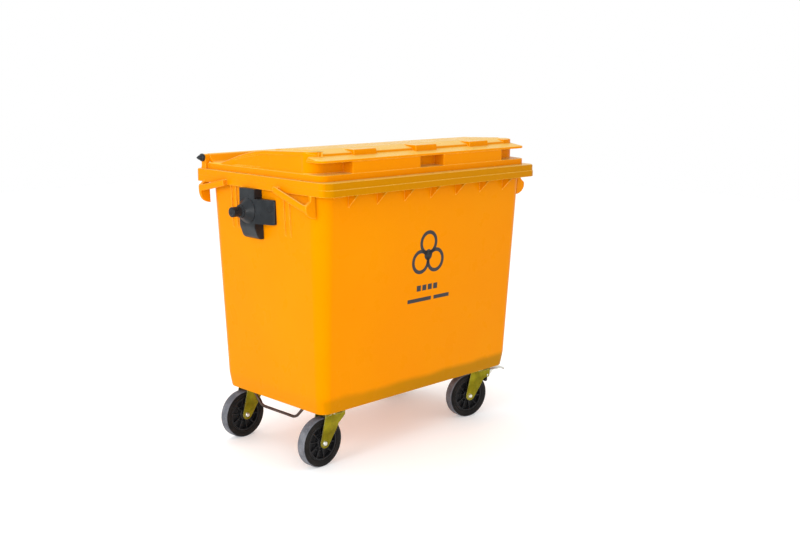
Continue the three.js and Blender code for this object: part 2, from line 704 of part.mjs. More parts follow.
// ---------------------------------------------------------------- assembly
const bin = new THREE.Group();
bin.name = 'waste_container';
bin.add(piece('tub', makeTub(), YELLOW));
bin.add(piece('lid', makeLid(), YELLOW));

const outerLugFace = hinge.lugs[3] + hinge.lugWidth / 2;
const rodLength = 2 * (outerLugFace + 6);
bin.add(piece('hinge_rod', rod(hinge.rod, rodLength, 'x').translate([0, hinge.y, hinge.z]), DARK_STEEL));
const rightCap = makeHingeCap().translate([outerLugFace + GAP, hinge.y, hinge.z]);
bin.add(piece('hinge_cap_right', rightCap, BLACK_PLASTIC));
bin.add(piece('hinge_cap_left', mirrorX(rightCap), BLACK_PLASTIC));

const rightTrunnion = makeTrunnion();
bin.add(piece('trunnion_right', rightTrunnion, BLACK_PLASTIC));
bin.add(piece('trunnion_left', mirrorX(rightTrunnion), BLACK_PLASTIC));

bin.add(piece('tow_bar', makeTowBar(), DARK_STEEL));
bin.add(piece('drain_seal', makeDrainSeal(), RUBBER));
bin.add(piece('drain_plug', makeDrainPlug(), BLACK_PLASTIC));
Object.keys(casterPlaces).forEach((name) => bin.add(makeCaster(name)));

export default bin;
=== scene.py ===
import math

import bmesh
import bpy
from mathutils import Matrix, Vector


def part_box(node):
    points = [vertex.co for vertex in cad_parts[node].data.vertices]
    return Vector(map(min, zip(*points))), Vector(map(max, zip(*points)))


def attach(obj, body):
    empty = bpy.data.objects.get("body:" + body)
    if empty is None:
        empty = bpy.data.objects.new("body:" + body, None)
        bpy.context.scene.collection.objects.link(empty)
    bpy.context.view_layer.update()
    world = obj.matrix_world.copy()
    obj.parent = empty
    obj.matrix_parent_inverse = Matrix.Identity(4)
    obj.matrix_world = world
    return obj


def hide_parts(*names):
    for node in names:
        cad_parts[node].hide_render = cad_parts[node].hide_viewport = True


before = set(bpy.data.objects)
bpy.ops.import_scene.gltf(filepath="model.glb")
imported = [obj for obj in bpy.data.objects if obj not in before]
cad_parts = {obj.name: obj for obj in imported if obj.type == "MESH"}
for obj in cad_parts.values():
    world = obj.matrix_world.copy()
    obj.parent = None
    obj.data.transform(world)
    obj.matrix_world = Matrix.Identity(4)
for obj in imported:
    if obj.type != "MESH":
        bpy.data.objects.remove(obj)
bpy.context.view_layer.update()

MM = 0.001
SMOOTH = math.radians(32)         # edges sharper than this stay hard
SIDES = (-1, 1)                   # left and right
CASTERS = ("front_left", "front_right", "rear_left", "rear_right")
BRAKED = ("front_right", "rear_right")
BOLTS = range(1, 5)               # the numbers of a caster's bolts


def box_mm(node):
    low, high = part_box(node)
    return low / MM, high / MM


def middle(node):
    low, high = box_mm(node)
    return (low + high) / 2


# ------------------------ sizes from the frame
TUB_LOW, TUB_HIGH = box_mm("tub")
LID_LOW, LID_HIGH = box_mm("lid")
HINGE = middle("hinge_rod")
LID_GAP = 0.3
# In these tables "half" is half a length along X, fronts and rears are places in Y, and tops, bases,
# bottoms and feet are heights.
RIM = {
    "top": LID_LOW.z - LID_GAP,
    "half": 622,
    "front": TUB_LOW.y,
    "rear": TUB_HIGH.y,
    "corner": 45,
    "rear_corner": 22,
    "height": 52,
    "plate": 6,
    "skin": 5,
}
WALL = {
    "base": TUB_LOW.z,
    "half_x": 558,
    "half_y": 310,
    "lean_x": 0.0496,
    "lean_y": 0.0446,
    "corner_low": 45,
    "corner_high": 70,
    "tuck": 6,
    "tuck_height": 65,
    "skin": 5,
    "floor_under": 235.3,
    "floor_top": 241.3,
}
LID = {
    "half": 598,
    "front": -298,
    "rear": LID_HIGH.y - 31,
    "corner": 55,
    "bottom": LID_LOW.z,
    "flange_half": 603,
    "flange_front": LID_LOW.y,
    "flange_top": 1166,
    "flange_corner": 40,
    "deck_front": 1239,
    "deck_slope": 45,
    "deck": 1250,
    "valley": 1164,
    "lip_low": 1211,
    "lip_top": 1221,
    "lip_rise": 10,
    "push_from": 68,
    "push_to": 440,
    "skin": 5,
}
UNDER_PLATE = RIM["top"] - RIM["plate"]


# ------------------------ mesh tools
def add_object(name, mesh):
    obj = bpy.data.objects.new(name, mesh)
    bpy.context.scene.collection.objects.link(obj)
    return obj


def make_object(name, points, faces):
    mesh = bpy.data.meshes.new(name)
    mesh.from_pydata([Vector(p) * MM for p in points], [], faces)
    mesh.update()
    return add_object(name, mesh)


def face_outwards(obj):
    """Turns the faces of a closed mesh outwards."""
    bm = bmesh.new()
    bm.from_mesh(obj.data)
    bmesh.ops.recalc_face_normals(bm, faces=bm.faces)
    bm.to_mesh(obj.data)
    bm.free()
    return obj


def from_bmesh(name, bm):
    bmesh.ops.recalc_face_normals(bm, faces=bm.faces)
    bmesh.ops.scale(bm, vec=(MM, MM, MM), verts=bm.verts)
    mesh = bpy.data.meshes.new(name)
    bm.to_mesh(mesh)
    bm.free()
    return add_object(name, mesh)


def round_edges(bm, width, segments=2, angle=30):
    """Rounds every edge of a bmesh that is sharper than the angle."""
    sharp = [e for e in bm.edges if e.is_manifold and e.calc_face_angle(0) > math.radians(angle)]
    bmesh.ops.bevel(bm, geom=sharp, offset=width, segments=segments, profile=0.5,
                    affect="EDGES", clamp_overlap=True)


def arc(cx, cy, radius, start, end, steps):
    turn = [math.radians(start + (end - start) * i / steps) for i in range(steps + 1)]
    return [(cx + radius * math.cos(t), cy + radius * math.sin(t)) for t in turn]


def bezier(points, steps):
    """Points on a cubic Bezier curve in 2-D, without its first point."""
    a, b, c, d = (Vector(p) for p in points)
    result = []
    for i in range(1, steps + 1):
        t = i / steps
        p = a * (1 - t) ** 3 + b * 3 * t * (1 - t) ** 2 + c * 3 * t * t * (1 - t) + d * t ** 3
        result.append((p.x, p.y))
    return result


PLACE = {
    "x": lambda u, v, w: (w, u, v),     # outline in Y and Z, depth along X
    "y": lambda u, v, w: (u, w, v),     # outline in X and Z, depth along Y
    "z": lambda u, v, w: (u, v, w),     # outline in X and Y, depth along Z
}


def prism_bmesh(outline, low, high, axis):
    bm = bmesh.new()
    ends = [[bm.verts.new(PLACE[axis](u, v, w)) for u, v in outline] for w in (low, high)]
    count = len(outline)
    bm.faces.new(ends[0])
    bm.faces.new(ends[1])
    for i in range(count):
        j = (i + 1) % count
        bm.faces.new((ends[0][i], ends[0][j], ends[1][j], ends[1][i]))
    bmesh.ops.recalc_face_normals(bm, faces=bm.faces)
    return bm


def prism(name, outline, low, high, axis, bevel=1.5, segments=2):
    bm = prism_bmesh(outline, low, high, axis)
    if bevel:
        round_edges(bm, bevel, segments)
    return from_bmesh(name, bm)


def block(name, low, high, bevel=1.5, segments=2):
    outline = [(low[0], low[1]), (high[0], low[1]), (high[0], high[1]), (low[0], high[1])]
    return prism(name, outline, low[2], high[2], "z", bevel, segments)


def lathe(name, profile, axis, centre, facets=64, closed=False):
    """Turns [radius, height] points about an axis through the centre; radius 0 is a single point."""
    bm = bmesh.new()
    turns = [2 * math.pi * i / facets for i in range(facets)]
    rings = []
    for radius, height in profile:
        ring = [(radius * math.cos(t), radius * math.sin(t)) for t in turns] if radius else [(0, 0)]
        rings.append([bm.verts.new(Vector(PLACE[axis](u, v, height)) + Vector(centre)) for u, v in ring])
    pairs = list(zip(rings, rings[1:]))
    if closed:
        pairs.append((rings[-1], rings[0]))
    for low, high in pairs:
        for i in range(facets):
            j = (i + 1) % facets
            if len(low) == 1:
                bm.faces.new((low[0], high[i], high[j]))
            elif len(high) == 1:
                bm.faces.new((low[i], low[j], high[0]))
            else:
                bm.faces.new((low[i], low[j], high[j], high[i]))
    return from_bmesh(name, bm)


def bore(radius, low, high, axis, centre, facets=32):
    """A plain cylinder that cuts a hole."""
    return lathe("hole", [(0, low), (radius, low), (radius, high), (0, high)], axis, centre, facets)


def flat_ring(inner, outer, low, high, axis, centre, facets):
    """A ring with square edges."""
    profile = [(inner, low), (outer, low), (outer, high), (inner, high)]
    return lathe("ring", profile, axis, centre, facets, closed=True)


def both_sides(side):
    """A profile from its half at the positive side and the mirror image of that half."""
    return [(radius, -height) for radius, height in side] + list(reversed(side))


def loft(name, rings, closed=False):
    """Joins rings of equal length with quads; caps both ends, or joins the last ring to the first."""
    points = [p for ring in rings for p in ring]
    count, total = len(rings[0]), len(points)
    faces = []
    for k in range(len(rings) if closed else len(rings) - 1):
        low, high = k * count, (k + 1) * count % total
        for i in range(count):
            j = (i + 1) % count
            faces.append((low + i, low + j, high + j, high + i))
    if not closed:
        faces.append(tuple(reversed(range(count))))
        faces.append(tuple(range(total - count, total)))
    return face_outwards(make_object(name, points, faces))


def apply_modifiers(obj):
    graph = bpy.context.evaluated_depsgraph_get()
    graph.update()
    mesh = bpy.data.meshes.new_from_object(obj.evaluated_get(graph))
    obj.modifiers.clear()
    obj.data = mesh
    return obj


def combine(obj, others, operation="UNION"):
    """Joins closed meshes to obj, or cuts them from it, and removes them."""
    for other in others:
        modifier = obj.modifiers.new("boolean", "BOOLEAN")
        modifier.object = other
        modifier.operation = operation
        modifier.solver = "MANIFOLD"
    apply_modifiers(obj)
    for other in others:
        bpy.data.objects.remove(other)
    return obj


def gather(name, parts):
    """Several meshes as one object, without joining their surfaces."""
    bm = bmesh.new()
    for part in parts:
        bm.from_mesh(part.data)
        bpy.data.objects.remove(part)
    mesh = bpy.data.meshes.new(name)
    bm.to_mesh(mesh)
    bm.free()
    return add_object(name, mesh)


def mirrored(obj, name):
    """A copy of a mesh on the other side of the container's middle plane."""
    copy = add_object(name, obj.data.copy())
    copy.data.transform(Matrix.Scale(-1, 4, (1, 0, 0)))
    copy.data.flip_normals()
    return copy


def smooth(obj):
    obj.data.shade_smooth()
    obj.data.set_sharp_from_angle(angle=SMOOTH)
    weighted = obj.modifiers.new("weighted normals", "WEIGHTED_NORMAL")
    weighted.keep_sharp = True


def finish_piece(obj, name, material, body, slot, *nodes):
    """Names a piece, paints it, makes it ride on its body and stand for its CAD nodes."""
    obj.name = name
    obj.data.name = name
    if material is not None:
        obj.data.materials.clear()
        obj.data.materials.append(material)
    smooth(obj)
    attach(obj, body)
    if nodes:
        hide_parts(*nodes)


def finish_pair(right, name, node):
    """Finishes a black piece of the right end and its mirror image at the left end."""
    left = mirrored(right, name)
    for obj, end in ((right, "right"), (left, "left")):
        finish_piece(obj, f"{name}_{end}", BLACK, "tub", "black_plastic", f"{node}_{end}")


# ------------------------ materials
class Nodes:
    """A small helper that adds and links shader nodes."""

    def __init__(self, name):
        self.material = bpy.data.materials.new(name)
        self.material.use_nodes = True
        self.tree = self.material.node_tree
        self.shader = self.tree.nodes["Principled BSDF"]
        self.place = self.add("ShaderNodeTexCoord").outputs["Object"]

    def feed(self, socket, value):
        """Puts a number, a colour or another node's output into a socket."""
        if isinstance(value, (int, float)):
            socket.default_value = value
        elif isinstance(value, tuple):
            socket.default_value = (*value, 1.0)
        else:
            self.tree.links.new(value, socket)

    def add(self, kind, sockets=None, **settings):
        """A new node with these settings, and with these values in its input sockets."""
        node = self.tree.nodes.new(kind)
        for key, value in settings.items():
            setattr(node, key, value)
        for key, value in (sockets or {}).items():
            self.feed(node.inputs[key], value)
        return node

    def noise(self, scale, detail=3.0, roughness=0.5, stretch=None):
        source = self.place
        if stretch:
            mapping = self.add("ShaderNodeMapping", {"Vector": source})
            mapping.inputs["Scale"].default_value = stretch
            source = mapping.outputs["Vector"]
        sockets = {"Vector": source, "Scale": scale, "Detail": detail, "Roughness": roughness}
        return self.add("ShaderNodeTexNoise", sockets).outputs["Fac"]

    def spread(self, value, low, high, to_low=0.0, to_high=1.0):
        """A smooth step of a value from one range to another."""
        sockets = {"Value": value, "From Min": low, "From Max": high, "To Min": to_low, "To Max": to_high}
        return self.add("ShaderNodeMapRange", sockets, interpolation_type="SMOOTHSTEP").outputs["Result"]

    def total(self, a, b):
        return self.add("ShaderNodeMath", {0: a, 1: b}, operation="ADD").outputs["Value"]

    def product(self, a, b):
        return self.add("ShaderNodeMath", {0: a, 1: b}, operation="MULTIPLY").outputs["Value"]

    def mix(self, factor, a, b):
        """Two colours mixed; sockets 6 and 7 are a mix node's colours."""
        return self.add("ShaderNodeMix", {0: factor, 6: a, 7: b}, data_type="RGBA").outputs[2]

    def axis(self, name):
        """A coordinate of the point, in metres."""
        return self.add("ShaderNodeSeparateXYZ", {"Vector": self.place}).outputs[name]

    def facing_up(self):
        """1 where the piece faces up while it is at rest, 0 on walls."""
        normal = self.add("ShaderNodeTexCoord").outputs["Normal"]
        return self.spread(self.add("ShaderNodeSeparateXYZ", {"Vector": normal}).outputs["Z"], 0.72, 0.96)

    def bump(self, height, strength, distance, normal=None):
        sockets = {"Height": height, "Strength": strength, "Distance": distance}
        if normal is not None:
            sockets["Normal"] = normal
        return self.add("ShaderNodeBump", sockets).outputs["Normal"]

    # An edge mask: edge wear on the black and zinc finishes, a painted highlight on the yellow plastic.
    def edge_wear_and_highlight(self, width):
        """1 on edges and 0 on flat faces."""
        rounded = self.add("ShaderNodeBevel", {"Radius": width}, samples=4).outputs["Normal"]
        flat = self.add("ShaderNodeNewGeometry").outputs["Normal"]
        dot = self.add("ShaderNodeVectorMath", {0: rounded, 1: flat}, operation="DOT_PRODUCT")
        return self.spread(dot.outputs["Value"], 0.995, 0.90)

    def set(self, **inputs):
        for key, value in inputs.items():
            self.feed(self.shader.inputs[key.replace("_", " ")], value)
        return self.material


# Painted shade: the olive laid low on the walls and on the rim's front band.
PAINTED_SHADE_YELLOW = (0.38, 0.16, 0.0)
# Painted sky reflection: the pale cream laid on the lid's up-facing tops.
SKY_REFLECTION_YELLOW = (0.72, 0.47, 0.10)
SCUFFED_YELLOW = (0.92, 0.42, 0.03)
# Painted highlight: the pale yellow laid along rounded edges.
EDGE_HIGHLIGHT_YELLOW = (1.0, 0.62, 0.10)
SHEEN_YELLOW = (1.0, 0.55, 0.01)
DUST_GREY = (0.06, 0.06, 0.06)
EDGE_GREY = (0.11, 0.11, 0.115)
EDGE_ZINC = (0.62, 0.60, 0.50)
INK_BLACK = (0.008, 0.007, 0.007)
INK_THIN = (0.10, 0.045, 0.010)
PEEL = (0.10, 0.0006)             # strength and depth, in metres, of the yellow plastic's skin
# Where the yellow changes, in metres: each pair is where a change starts and where it is complete.
# Painted shade and ground reflection low on the walls, strongest along the front.
FOOT_SHADE = {"height": (0.312, 0.280), "front": (-0.285, -0.305), "along": (-0.58, 0.1)}
# Painted shade on the rim's front band.
RIM_SHADE = {"front": (-0.372, -0.390), "height": (1.150, 1.140)}
# Painted sky reflection on up-facing tops from this height up.
SKY_REFLECTION_HEIGHT = (1.0, 1.04)


def yellow_plastic(name, base):
    """Moulded polyethylene: cloudy colour, orange-peel skin and scuffs, with a painted highlight on edges,
    a painted sky reflection on up-facing tops, and painted shade low on the walls and on the rim's front
    band.
    """
    n = Nodes(name)
    cloud = n.spread(n.noise(2.2, 4.0, 0.55), 0.3, 0.7)
    colour = n.mix(cloud, base, tuple(c * k for c, k in zip(base, (1.0, 1.06, 1.0))))
    # Painted shade and ground reflection: the walls turn olive towards the foot, most along the front.
    shade_height = n.total(n.axis("Z"), n.product(n.noise(6.0, 3.0), 0.03))
    along_front = n.spread(n.axis("X"), *FOOT_SHADE["along"], 0.45, 0.8)
    front_shade = n.product(n.spread(n.axis("Y"), *FOOT_SHADE["front"]), along_front)
    foot = n.spread(shade_height, *FOOT_SHADE["height"])
    colour = n.mix(n.product(foot, n.total(front_shade, 0.15)), colour, PAINTED_SHADE_YELLOW)
    # Painted shade: the rim's front band is mixed towards olive.
    rim = n.product(n.spread(n.axis("Y"), *RIM_SHADE["front"]), n.spread(n.axis("Z"), *RIM_SHADE["height"]))
    colour = n.mix(n.product(rim, 0.75), colour, PAINTED_SHADE_YELLOW)
    scuff = n.spread(n.noise(38.0, 6.0, 0.7, (1.0, 1.0, 0.25)), 0.64, 0.80, 0.0, 0.14)
    colour = n.mix(scuff, colour, SCUFFED_YELLOW)
    # Painted highlight: pale yellow along rounded edges, made patchy by noise.
    edge = n.product(n.edge_wear_and_highlight(0.003), n.spread(n.noise(70.0, 3.0), 0.3, 0.7, 0.45, 1.0))
    colour = n.mix(n.product(edge, 0.7), colour, EDGE_HIGHLIGHT_YELLOW)
    # Painted sky reflection: up-facing tops of the lid turn pale cream.
    sky_reflection = n.product(n.facing_up(), n.spread(n.axis("Z"), *SKY_REFLECTION_HEIGHT, 0.0, 0.85))
    colour = n.mix(sky_reflection, colour, SKY_REFLECTION_YELLOW)
    waves = n.bump(n.noise(7.0, 2.0, 0.4), 0.22, 0.004, n.bump(n.noise(420.0, 2.0), *PEEL))
    gloss = n.spread(n.noise(11.0, 4.0), 0.3, 0.7, 0.26, 0.34)
    return n.set(Base_Color=colour, Roughness=n.total(gloss, n.product(scuff, 0.6)), Normal=waves,
                 Specular_IOR_Level=0.05, Specular_Tint=SHEEN_YELLOW)


def black_plastic(name, base, rough_low, rough_high):
    """Black moulded plastic with dust, paler edges and a fine grain."""
    n = Nodes(name)
    cloud = n.spread(n.noise(14.0, 4.0), 0.35, 0.7)
    colour = n.mix(cloud, base, tuple(c * 1.7 + 0.004 for c in base))
    dust = n.spread(n.noise(55.0, 5.0, 0.65), 0.58, 0.78, 0.0, 0.35)
    colour = n.mix(dust, colour, DUST_GREY)
    colour = n.mix(n.product(n.edge_wear_and_highlight(0.0015), 0.5), colour, EDGE_GREY)
    rough = n.spread(n.noise(25.0, 4.0), 0.3, 0.7, rough_low, rough_high)
    grain = n.bump(n.noise(260.0, 3.0), 0.25, 0.0008)
    return n.set(Base_Color=colour, Roughness=rough, Normal=grain, Specular_IOR_Level=0.20)


def rubber(name, base, bloom, roughness):
    """Rubber with a pale bloom, specks and a fine grain."""
    n = Nodes(name)
    cloud = n.spread(n.noise(18.0, 5.0, 0.6), 0.35, 0.72)
    colour = n.mix(cloud, base, bloom)
    specks = n.spread(n.noise(160.0, 3.0), 0.60, 0.75, 0.0, 0.5)
    colour = n.mix(specks, colour, tuple(min(1.0, c * 1.8) for c in bloom))
    grain = n.bump(n.noise(330.0, 4.0), 0.35, 0.0009)
    rough = n.spread(n.noise(30.0, 3.0), 0.3, 0.7, roughness - 0.1, roughness + 0.08)
    return n.set(Base_Color=colour, Roughness=rough, Normal=grain, Specular_IOR_Level=0.15)


def plated(name, base, tint, roughness):
    """Zinc plate with a drifting passivation colour, fine drawing lines and dull worn edges."""
    n = Nodes(name)
    drift = n.spread(n.noise(16.0, 4.0, 0.6), 0.32, 0.70)
    colour = n.mix(drift, base, tint)
    lines = n.noise(130.0, 4.0, 0.6, (1.0, 1.0, 6.0))
    stain = n.spread(n.noise(60.0, 5.0, 0.7), 0.60, 0.80, 0.0, 0.5)
    colour = n.mix(stain, colour, tuple(c * 0.45 for c in base))
    colour = n.mix(n.product(n.edge_wear_and_highlight(0.0012), 0.6), colour, EDGE_ZINC)
    brushed = n.spread(lines, 0.3, 0.7, roughness - 0.08, roughness + 0.1)
    return n.set(Base_Color=colour, Metallic=0.95, Roughness=n.total(brushed, n.product(stain, 0.4)),
                 Normal=n.bump(lines, 0.12, 0.0006))


def printed(name):
    """Screen-printed ink, slightly broken by the plastic's skin."""
    n = Nodes(name)
    thin = n.spread(n.noise(240.0, 4.0, 0.6), 0.66, 0.80, 0.0, 0.5)
    return n.set(Base_Color=n.mix(thin, INK_BLACK, INK_THIN),
                 Roughness=n.spread(n.noise(40.0), 0.3, 0.7, 0.38, 0.52),
                 Normal=n.bump(n.noise(420.0, 2.0), *PEEL))


YELLOW = yellow_plastic("yellow_plastic", (0.69, 0.215, 0.0))
BLACK = black_plastic("black_plastic", (0.008, 0.010, 0.012), 0.26, 0.38)
WHEEL_BLACK = black_plastic("wheel_plastic", (0.003, 0.003, 0.0035), 0.36, 0.50)
SIDE_RUBBER = rubber("rubber_side", (0.004, 0.0035, 0.003), (0.011, 0.009, 0.008), 0.60)
TREAD_RUBBER = rubber("rubber_tread", (0.080, 0.084, 0.098), (0.165, 0.170, 0.190), 0.55)
YELLOW_ZINC = plated("yellow_zinc", (0.15, 0.125, 0.004), (0.27, 0.24, 0.012), 0.34)
WHITE_ZINC = plated("white_zinc", (0.60, 0.61, 0.58), (0.74, 0.76, 0.70), 0.30)
DARK_STEEL = plated("dark_steel", (0.075, 0.048, 0.040), (0.12, 0.085, 0.070), 0.42)
INK = printed("print_ink")


# ------------------------ tub
def wall_half(z):
    """Half the tub's outer length and depth at a height."""
    rise = z - WALL["base"]
    tuck = WALL["tuck"] * max(0.0, 1 - rise / WALL["tuck_height"]) ** 1.3
    return WALL["half_x"] + WALL["lean_x"] * rise - tuck, WALL["half_y"] + WALL["lean_y"] * rise - tuck


def plan_ring(half_x, y_low, y_high, radius, z, rear_radius=None, corner_steps=14):
    """A rounded rectangle at one height; its rear corners may have their own radius."""
    rear = radius if rear_radius is None else rear_radius
    ring = []
    for side, cy, size, start in ((1, y_high - rear, rear, 0), (-1, y_high - rear, rear, 90),
                                  (-1, y_low + radius, radius, 180), (1, y_low + radius, radius, 270)):
        points = arc(side * (half_x - size), cy, size, start, start + 90, corner_steps)
        ring.extend((x, y, z) for x, y in points)
    return ring


def wall_ring(inset, z):
    half_x, half_y = wall_half(z)
    rise = (z - WALL["base"]) / (RIM["top"] - WALL["base"])
    radius = WALL["corner_low"] + (WALL["corner_high"] - WALL["corner_low"]) * rise
    return plan_ring(half_x - inset, -half_y + inset, half_y - inset, radius - inset, z)


def band_ring(inset, z, front_inset=0.0):
    return plan_ring(RIM["half"] - inset, RIM["front"] + inset + front_inset, RIM["rear"] - inset,
                     RIM["corner"] - inset, z, RIM["rear_corner"] - inset)


def tub_shell():
    """One closed skin: floor, wall, rim plate and turned-down rim band, as (inset, height) places."""
    base, top, skin = WALL["base"], RIM["top"], WALL["skin"]
    low = top - RIM["height"]
    step = low + RIM["height"] / 2
    under, floor = WALL["floor_under"], WALL["floor_top"]
    outside = [(skin + 4, under), (skin, under - 4), (skin, base + 1.5), (skin - 1.5, base), (2, base)]
    outside += [(0.6, base + 0.6)] + [(0, base + rise) for rise in (2.5, 20, 40, 54, 62, 68, 76, 120)]
    outside += [(0, UNDER_PLATE - 16), (0, UNDER_PLATE - 5), (-1.6, UNDER_PLATE - 1.4), (-5, UNDER_PLATE)]
    band = [(skin + 4, UNDER_PLATE), (skin + 1, UNDER_PLATE - 1.2), (skin, UNDER_PLATE - 5)]
    band += [(skin, low + 1.5), (skin - 1.3, low), (1.6, low), (0.4, low + 0.5), (0, low + 2)]
    band += [(0, step - 2.2), (0.5, step - 0.8, 0.2), (0.6, step, 2.0), (0, step + 1.6, 3.0)]
    band += [(0, top - 6, 3.0), (0.7, top - 3, 3.0), (2.6, top - 0.8, 3.0), (5.5, top, 3.0)]
    inside = [(skin - 4, top), (skin - 1, top - 0.8), (skin, top - 3.5), (skin, top - 30)]
    inside += [(skin, base + rise) for rise in (120, 76, 66, 45)]
    inside += [(skin, floor + 14), (skin + 1.5, floor + 6), (skin + 5, floor + 1.8), (skin + 14, floor)]
    rings = [wall_ring(*place) for place in outside]
    rings += [band_ring(*place) for place in band]
    rings += [wall_ring(*place) for place in inside]
    return loft("tub", rings)


GUSSETS = {"count": 7, "pitch": 152, "foot": 1035, "width": 6}
END_GUSSETS = {"places": (508, 531), "foot": 1076, "width": 4}
RIBS = {"places": (-168, -136, 160, 190), "foot": 912, "reach": 6, "half": 4}


def front_gusset(x, foot, width):
    wall, front, under = -wall_half(foot)[1], RIM["front"] + 4, UNDER_PLATE + 2
    outline = [(front, under), (front, RIM["top"] - RIM["height"] + 1), (wall + 2, foot), (wall + 3, under)]
    return prism("gusset", outline, x - width / 2, x + width / 2, "x", 1.0)


def end_rib(side, y):
    foot, under, reach = RIBS["foot"], UNDER_PLATE + 2, RIBS["reach"]
    low_x, high_x = wall_half(foot)[0], wall_half(under)[0]
    outline = [(high_x - 2, under), (high_x + reach, under), (low_x + reach, foot + 24),
               (low_x + reach - 2.5, foot + 8), (low_x - 2, foot)]
    outline = [(side * x, z) for x, z in outline]
    return prism("rib", outline, y - RIBS["half"], y + RIBS["half"], "y", 1.4)


HANDLES = (
    {"inner": -127, "outer": -318, "inner_z": 1097, "outer_z": 1042},
    {"inner": 194, "outer": 355, "inner_z": 1098, "outer_z": 1066},
)
GRIP = {"thick": 15, "tall": 27, "outside": 646, "arm": 14, "arm_foot": 1003}


def oval(half_width, half_height, facets=20, squareness=0.8):
    """Points round a slightly square oval."""
    ring = []
    for i in range(facets):
        t = 2 * math.pi * i / facets
        u, v = (math.copysign(abs(w) ** squareness, w) for w in (math.cos(t), math.sin(t)))
        ring.append((u * half_width, v * half_height))
    return ring


def grip_bar(side, grip):
    """A rolled bar: an oval section swept outside the rim from the link down to the outer arm."""
    outwards = math.copysign(1, grip["outer"])
    centre_x = GRIP["outside"] - GRIP["thick"] / 2 - 0.3
    stations = [
        (grip["inner"] - outwards * 5, grip["inner_z"] + 3, 0.80),
        (grip["inner"] + outwards * 4, grip["inner_z"], 1.0),
        (grip["outer"] - outwards * 26, grip["outer_z"] + 3, 1.0),
        (grip["outer"] - outwards * 10, grip["outer_z"] + 1, 1.0),
        (grip["outer"] - outwards * 2, grip["outer_z"] + 4, 0.9),
    ]
    rings = []
    for y, z, size in stations:
        section = oval(GRIP["thick"] / 2 * size, GRIP["tall"] / 2 * size)
        rings.append([(side * (centre_x + u), y, z + v) for u, v in section])
    return loft("grip", rings)


def grip_link(side, grip):
    """The short block that carries the inner end of a grip bar on the rim's skirt."""
    outwards = math.copysign(1, grip["outer"])
    x_low, x_high = sorted((side * (RIM["half"] - RIM["skin"] + 1), side * (GRIP["outside"] - 3)))
    y_low, y_high = sorted((grip["inner"] - outwards * 2, grip["inner"] + outwards * 14))
    z, half = grip["inner_z"], GRIP["tall"] / 2 - 1
    return block("link", (x_low, y_low, z - half), (x_high, y_high, z + half), 4, 3)


def grip_arm(side, grip):
    """The curved plate that carries the outer end of a grip bar."""
    outwards = math.copysign(1, grip["outer"])
    foot, reach = GRIP["arm_foot"], GRIP["outside"] - 0.6
    under, rim_x = UNDER_PLATE + 2, RIM["half"] - 1
    wall, bar_z = wall_half(foot)[0], grip["outer_z"]
    curve = bezier([(wall - 2, foot), (reach - 18, foot + 4), (reach, foot + 22), (reach, bar_z)], 8)
    outline = [(wall - 2, foot)] + curve + [(reach, bar_z + 10), (rim_x, bar_z + 30), (rim_x, under)]
    outline += [(wall_half(under)[0] - 2, under)]
    low, high = sorted((grip["outer"], grip["outer"] - outwards * GRIP["arm"]))
    return prism("arm", [(side * x, z) for x, z in outline], low, high, "y", 2.5, 3)


LUGS = (-602, -195, 195, 602)     # the hinge lugs' places along the rod
LUG = {"width": 22, "radius": 14, "hole": 6.4, "hole_reach": 630}
BARREL = {"radius": 15, "hole": 6.6, "hole_reach": 620, "foot": 318, "bend": (344, 336), "root": 306}
DRAIN_HOLE = 30
BOLT_HOLE = 5.5
FLOOR_CUT = (220, 260)            # heights between which the floor's holes are cut


def hinge_lug(x):
    top, radius, half = RIM["top"] - 2, LUG["radius"], LUG["width"] / 2
    outline = [(HINGE.y - radius, top), (HINGE.y + radius + 4, top), (HINGE.y + radius, top + 14)]
    outline += arc(HINGE.y, HINGE.z, radius, 0, 180, 16)
    return prism("lug", outline, x - half, x + half, "x", 1.2)


def rod_bore(size):
    """The hole along the hinge rod, through lugs or barrels."""
    return bore(size["hole"], -size["hole_reach"], size["hole_reach"], "x", (0, HINGE.y, HINGE.z))


def make_tub():
    tub = tub_shell()
    places = [(i - GUSSETS["count"] // 2) * GUSSETS["pitch"] for i in range(GUSSETS["count"])]
    parts = [front_gusset(x, GUSSETS["foot"], GUSSETS["width"]) for x in places]
    places = [side * x for side in SIDES for x in END_GUSSETS["places"]]
    parts += [front_gusset(x, END_GUSSETS["foot"], END_GUSSETS["width"]) for x in places]
    for side in SIDES:
        parts += [end_rib(side, y) for y in RIBS["places"]]
        for grip in HANDLES:
            parts += [grip_arm(side, grip), grip_bar(side, grip), grip_link(side, grip)]
    parts += [hinge_lug(x) for x in LUGS]
    combine(tub, parts)
    plug = middle("drain_plug")
    holes = [rod_bore(LUG), bore(DRAIN_HOLE, *FLOOR_CUT, "z", (plug.x, plug.y, 0), 48)]
    for caster in CASTERS:
        for i in BOLTS:
            bolt = middle(f"caster_bolt_{caster}_{i}")
            holes.append(bore(BOLT_HOLE, *FLOOR_CUT, "z", (bolt.x, bolt.y, 0), 20))
    combine(tub, holes, "DIFFERENCE")
    finish_piece(tub, "tub_shell", YELLOW, "tub", "yellow_plastic", "tub")


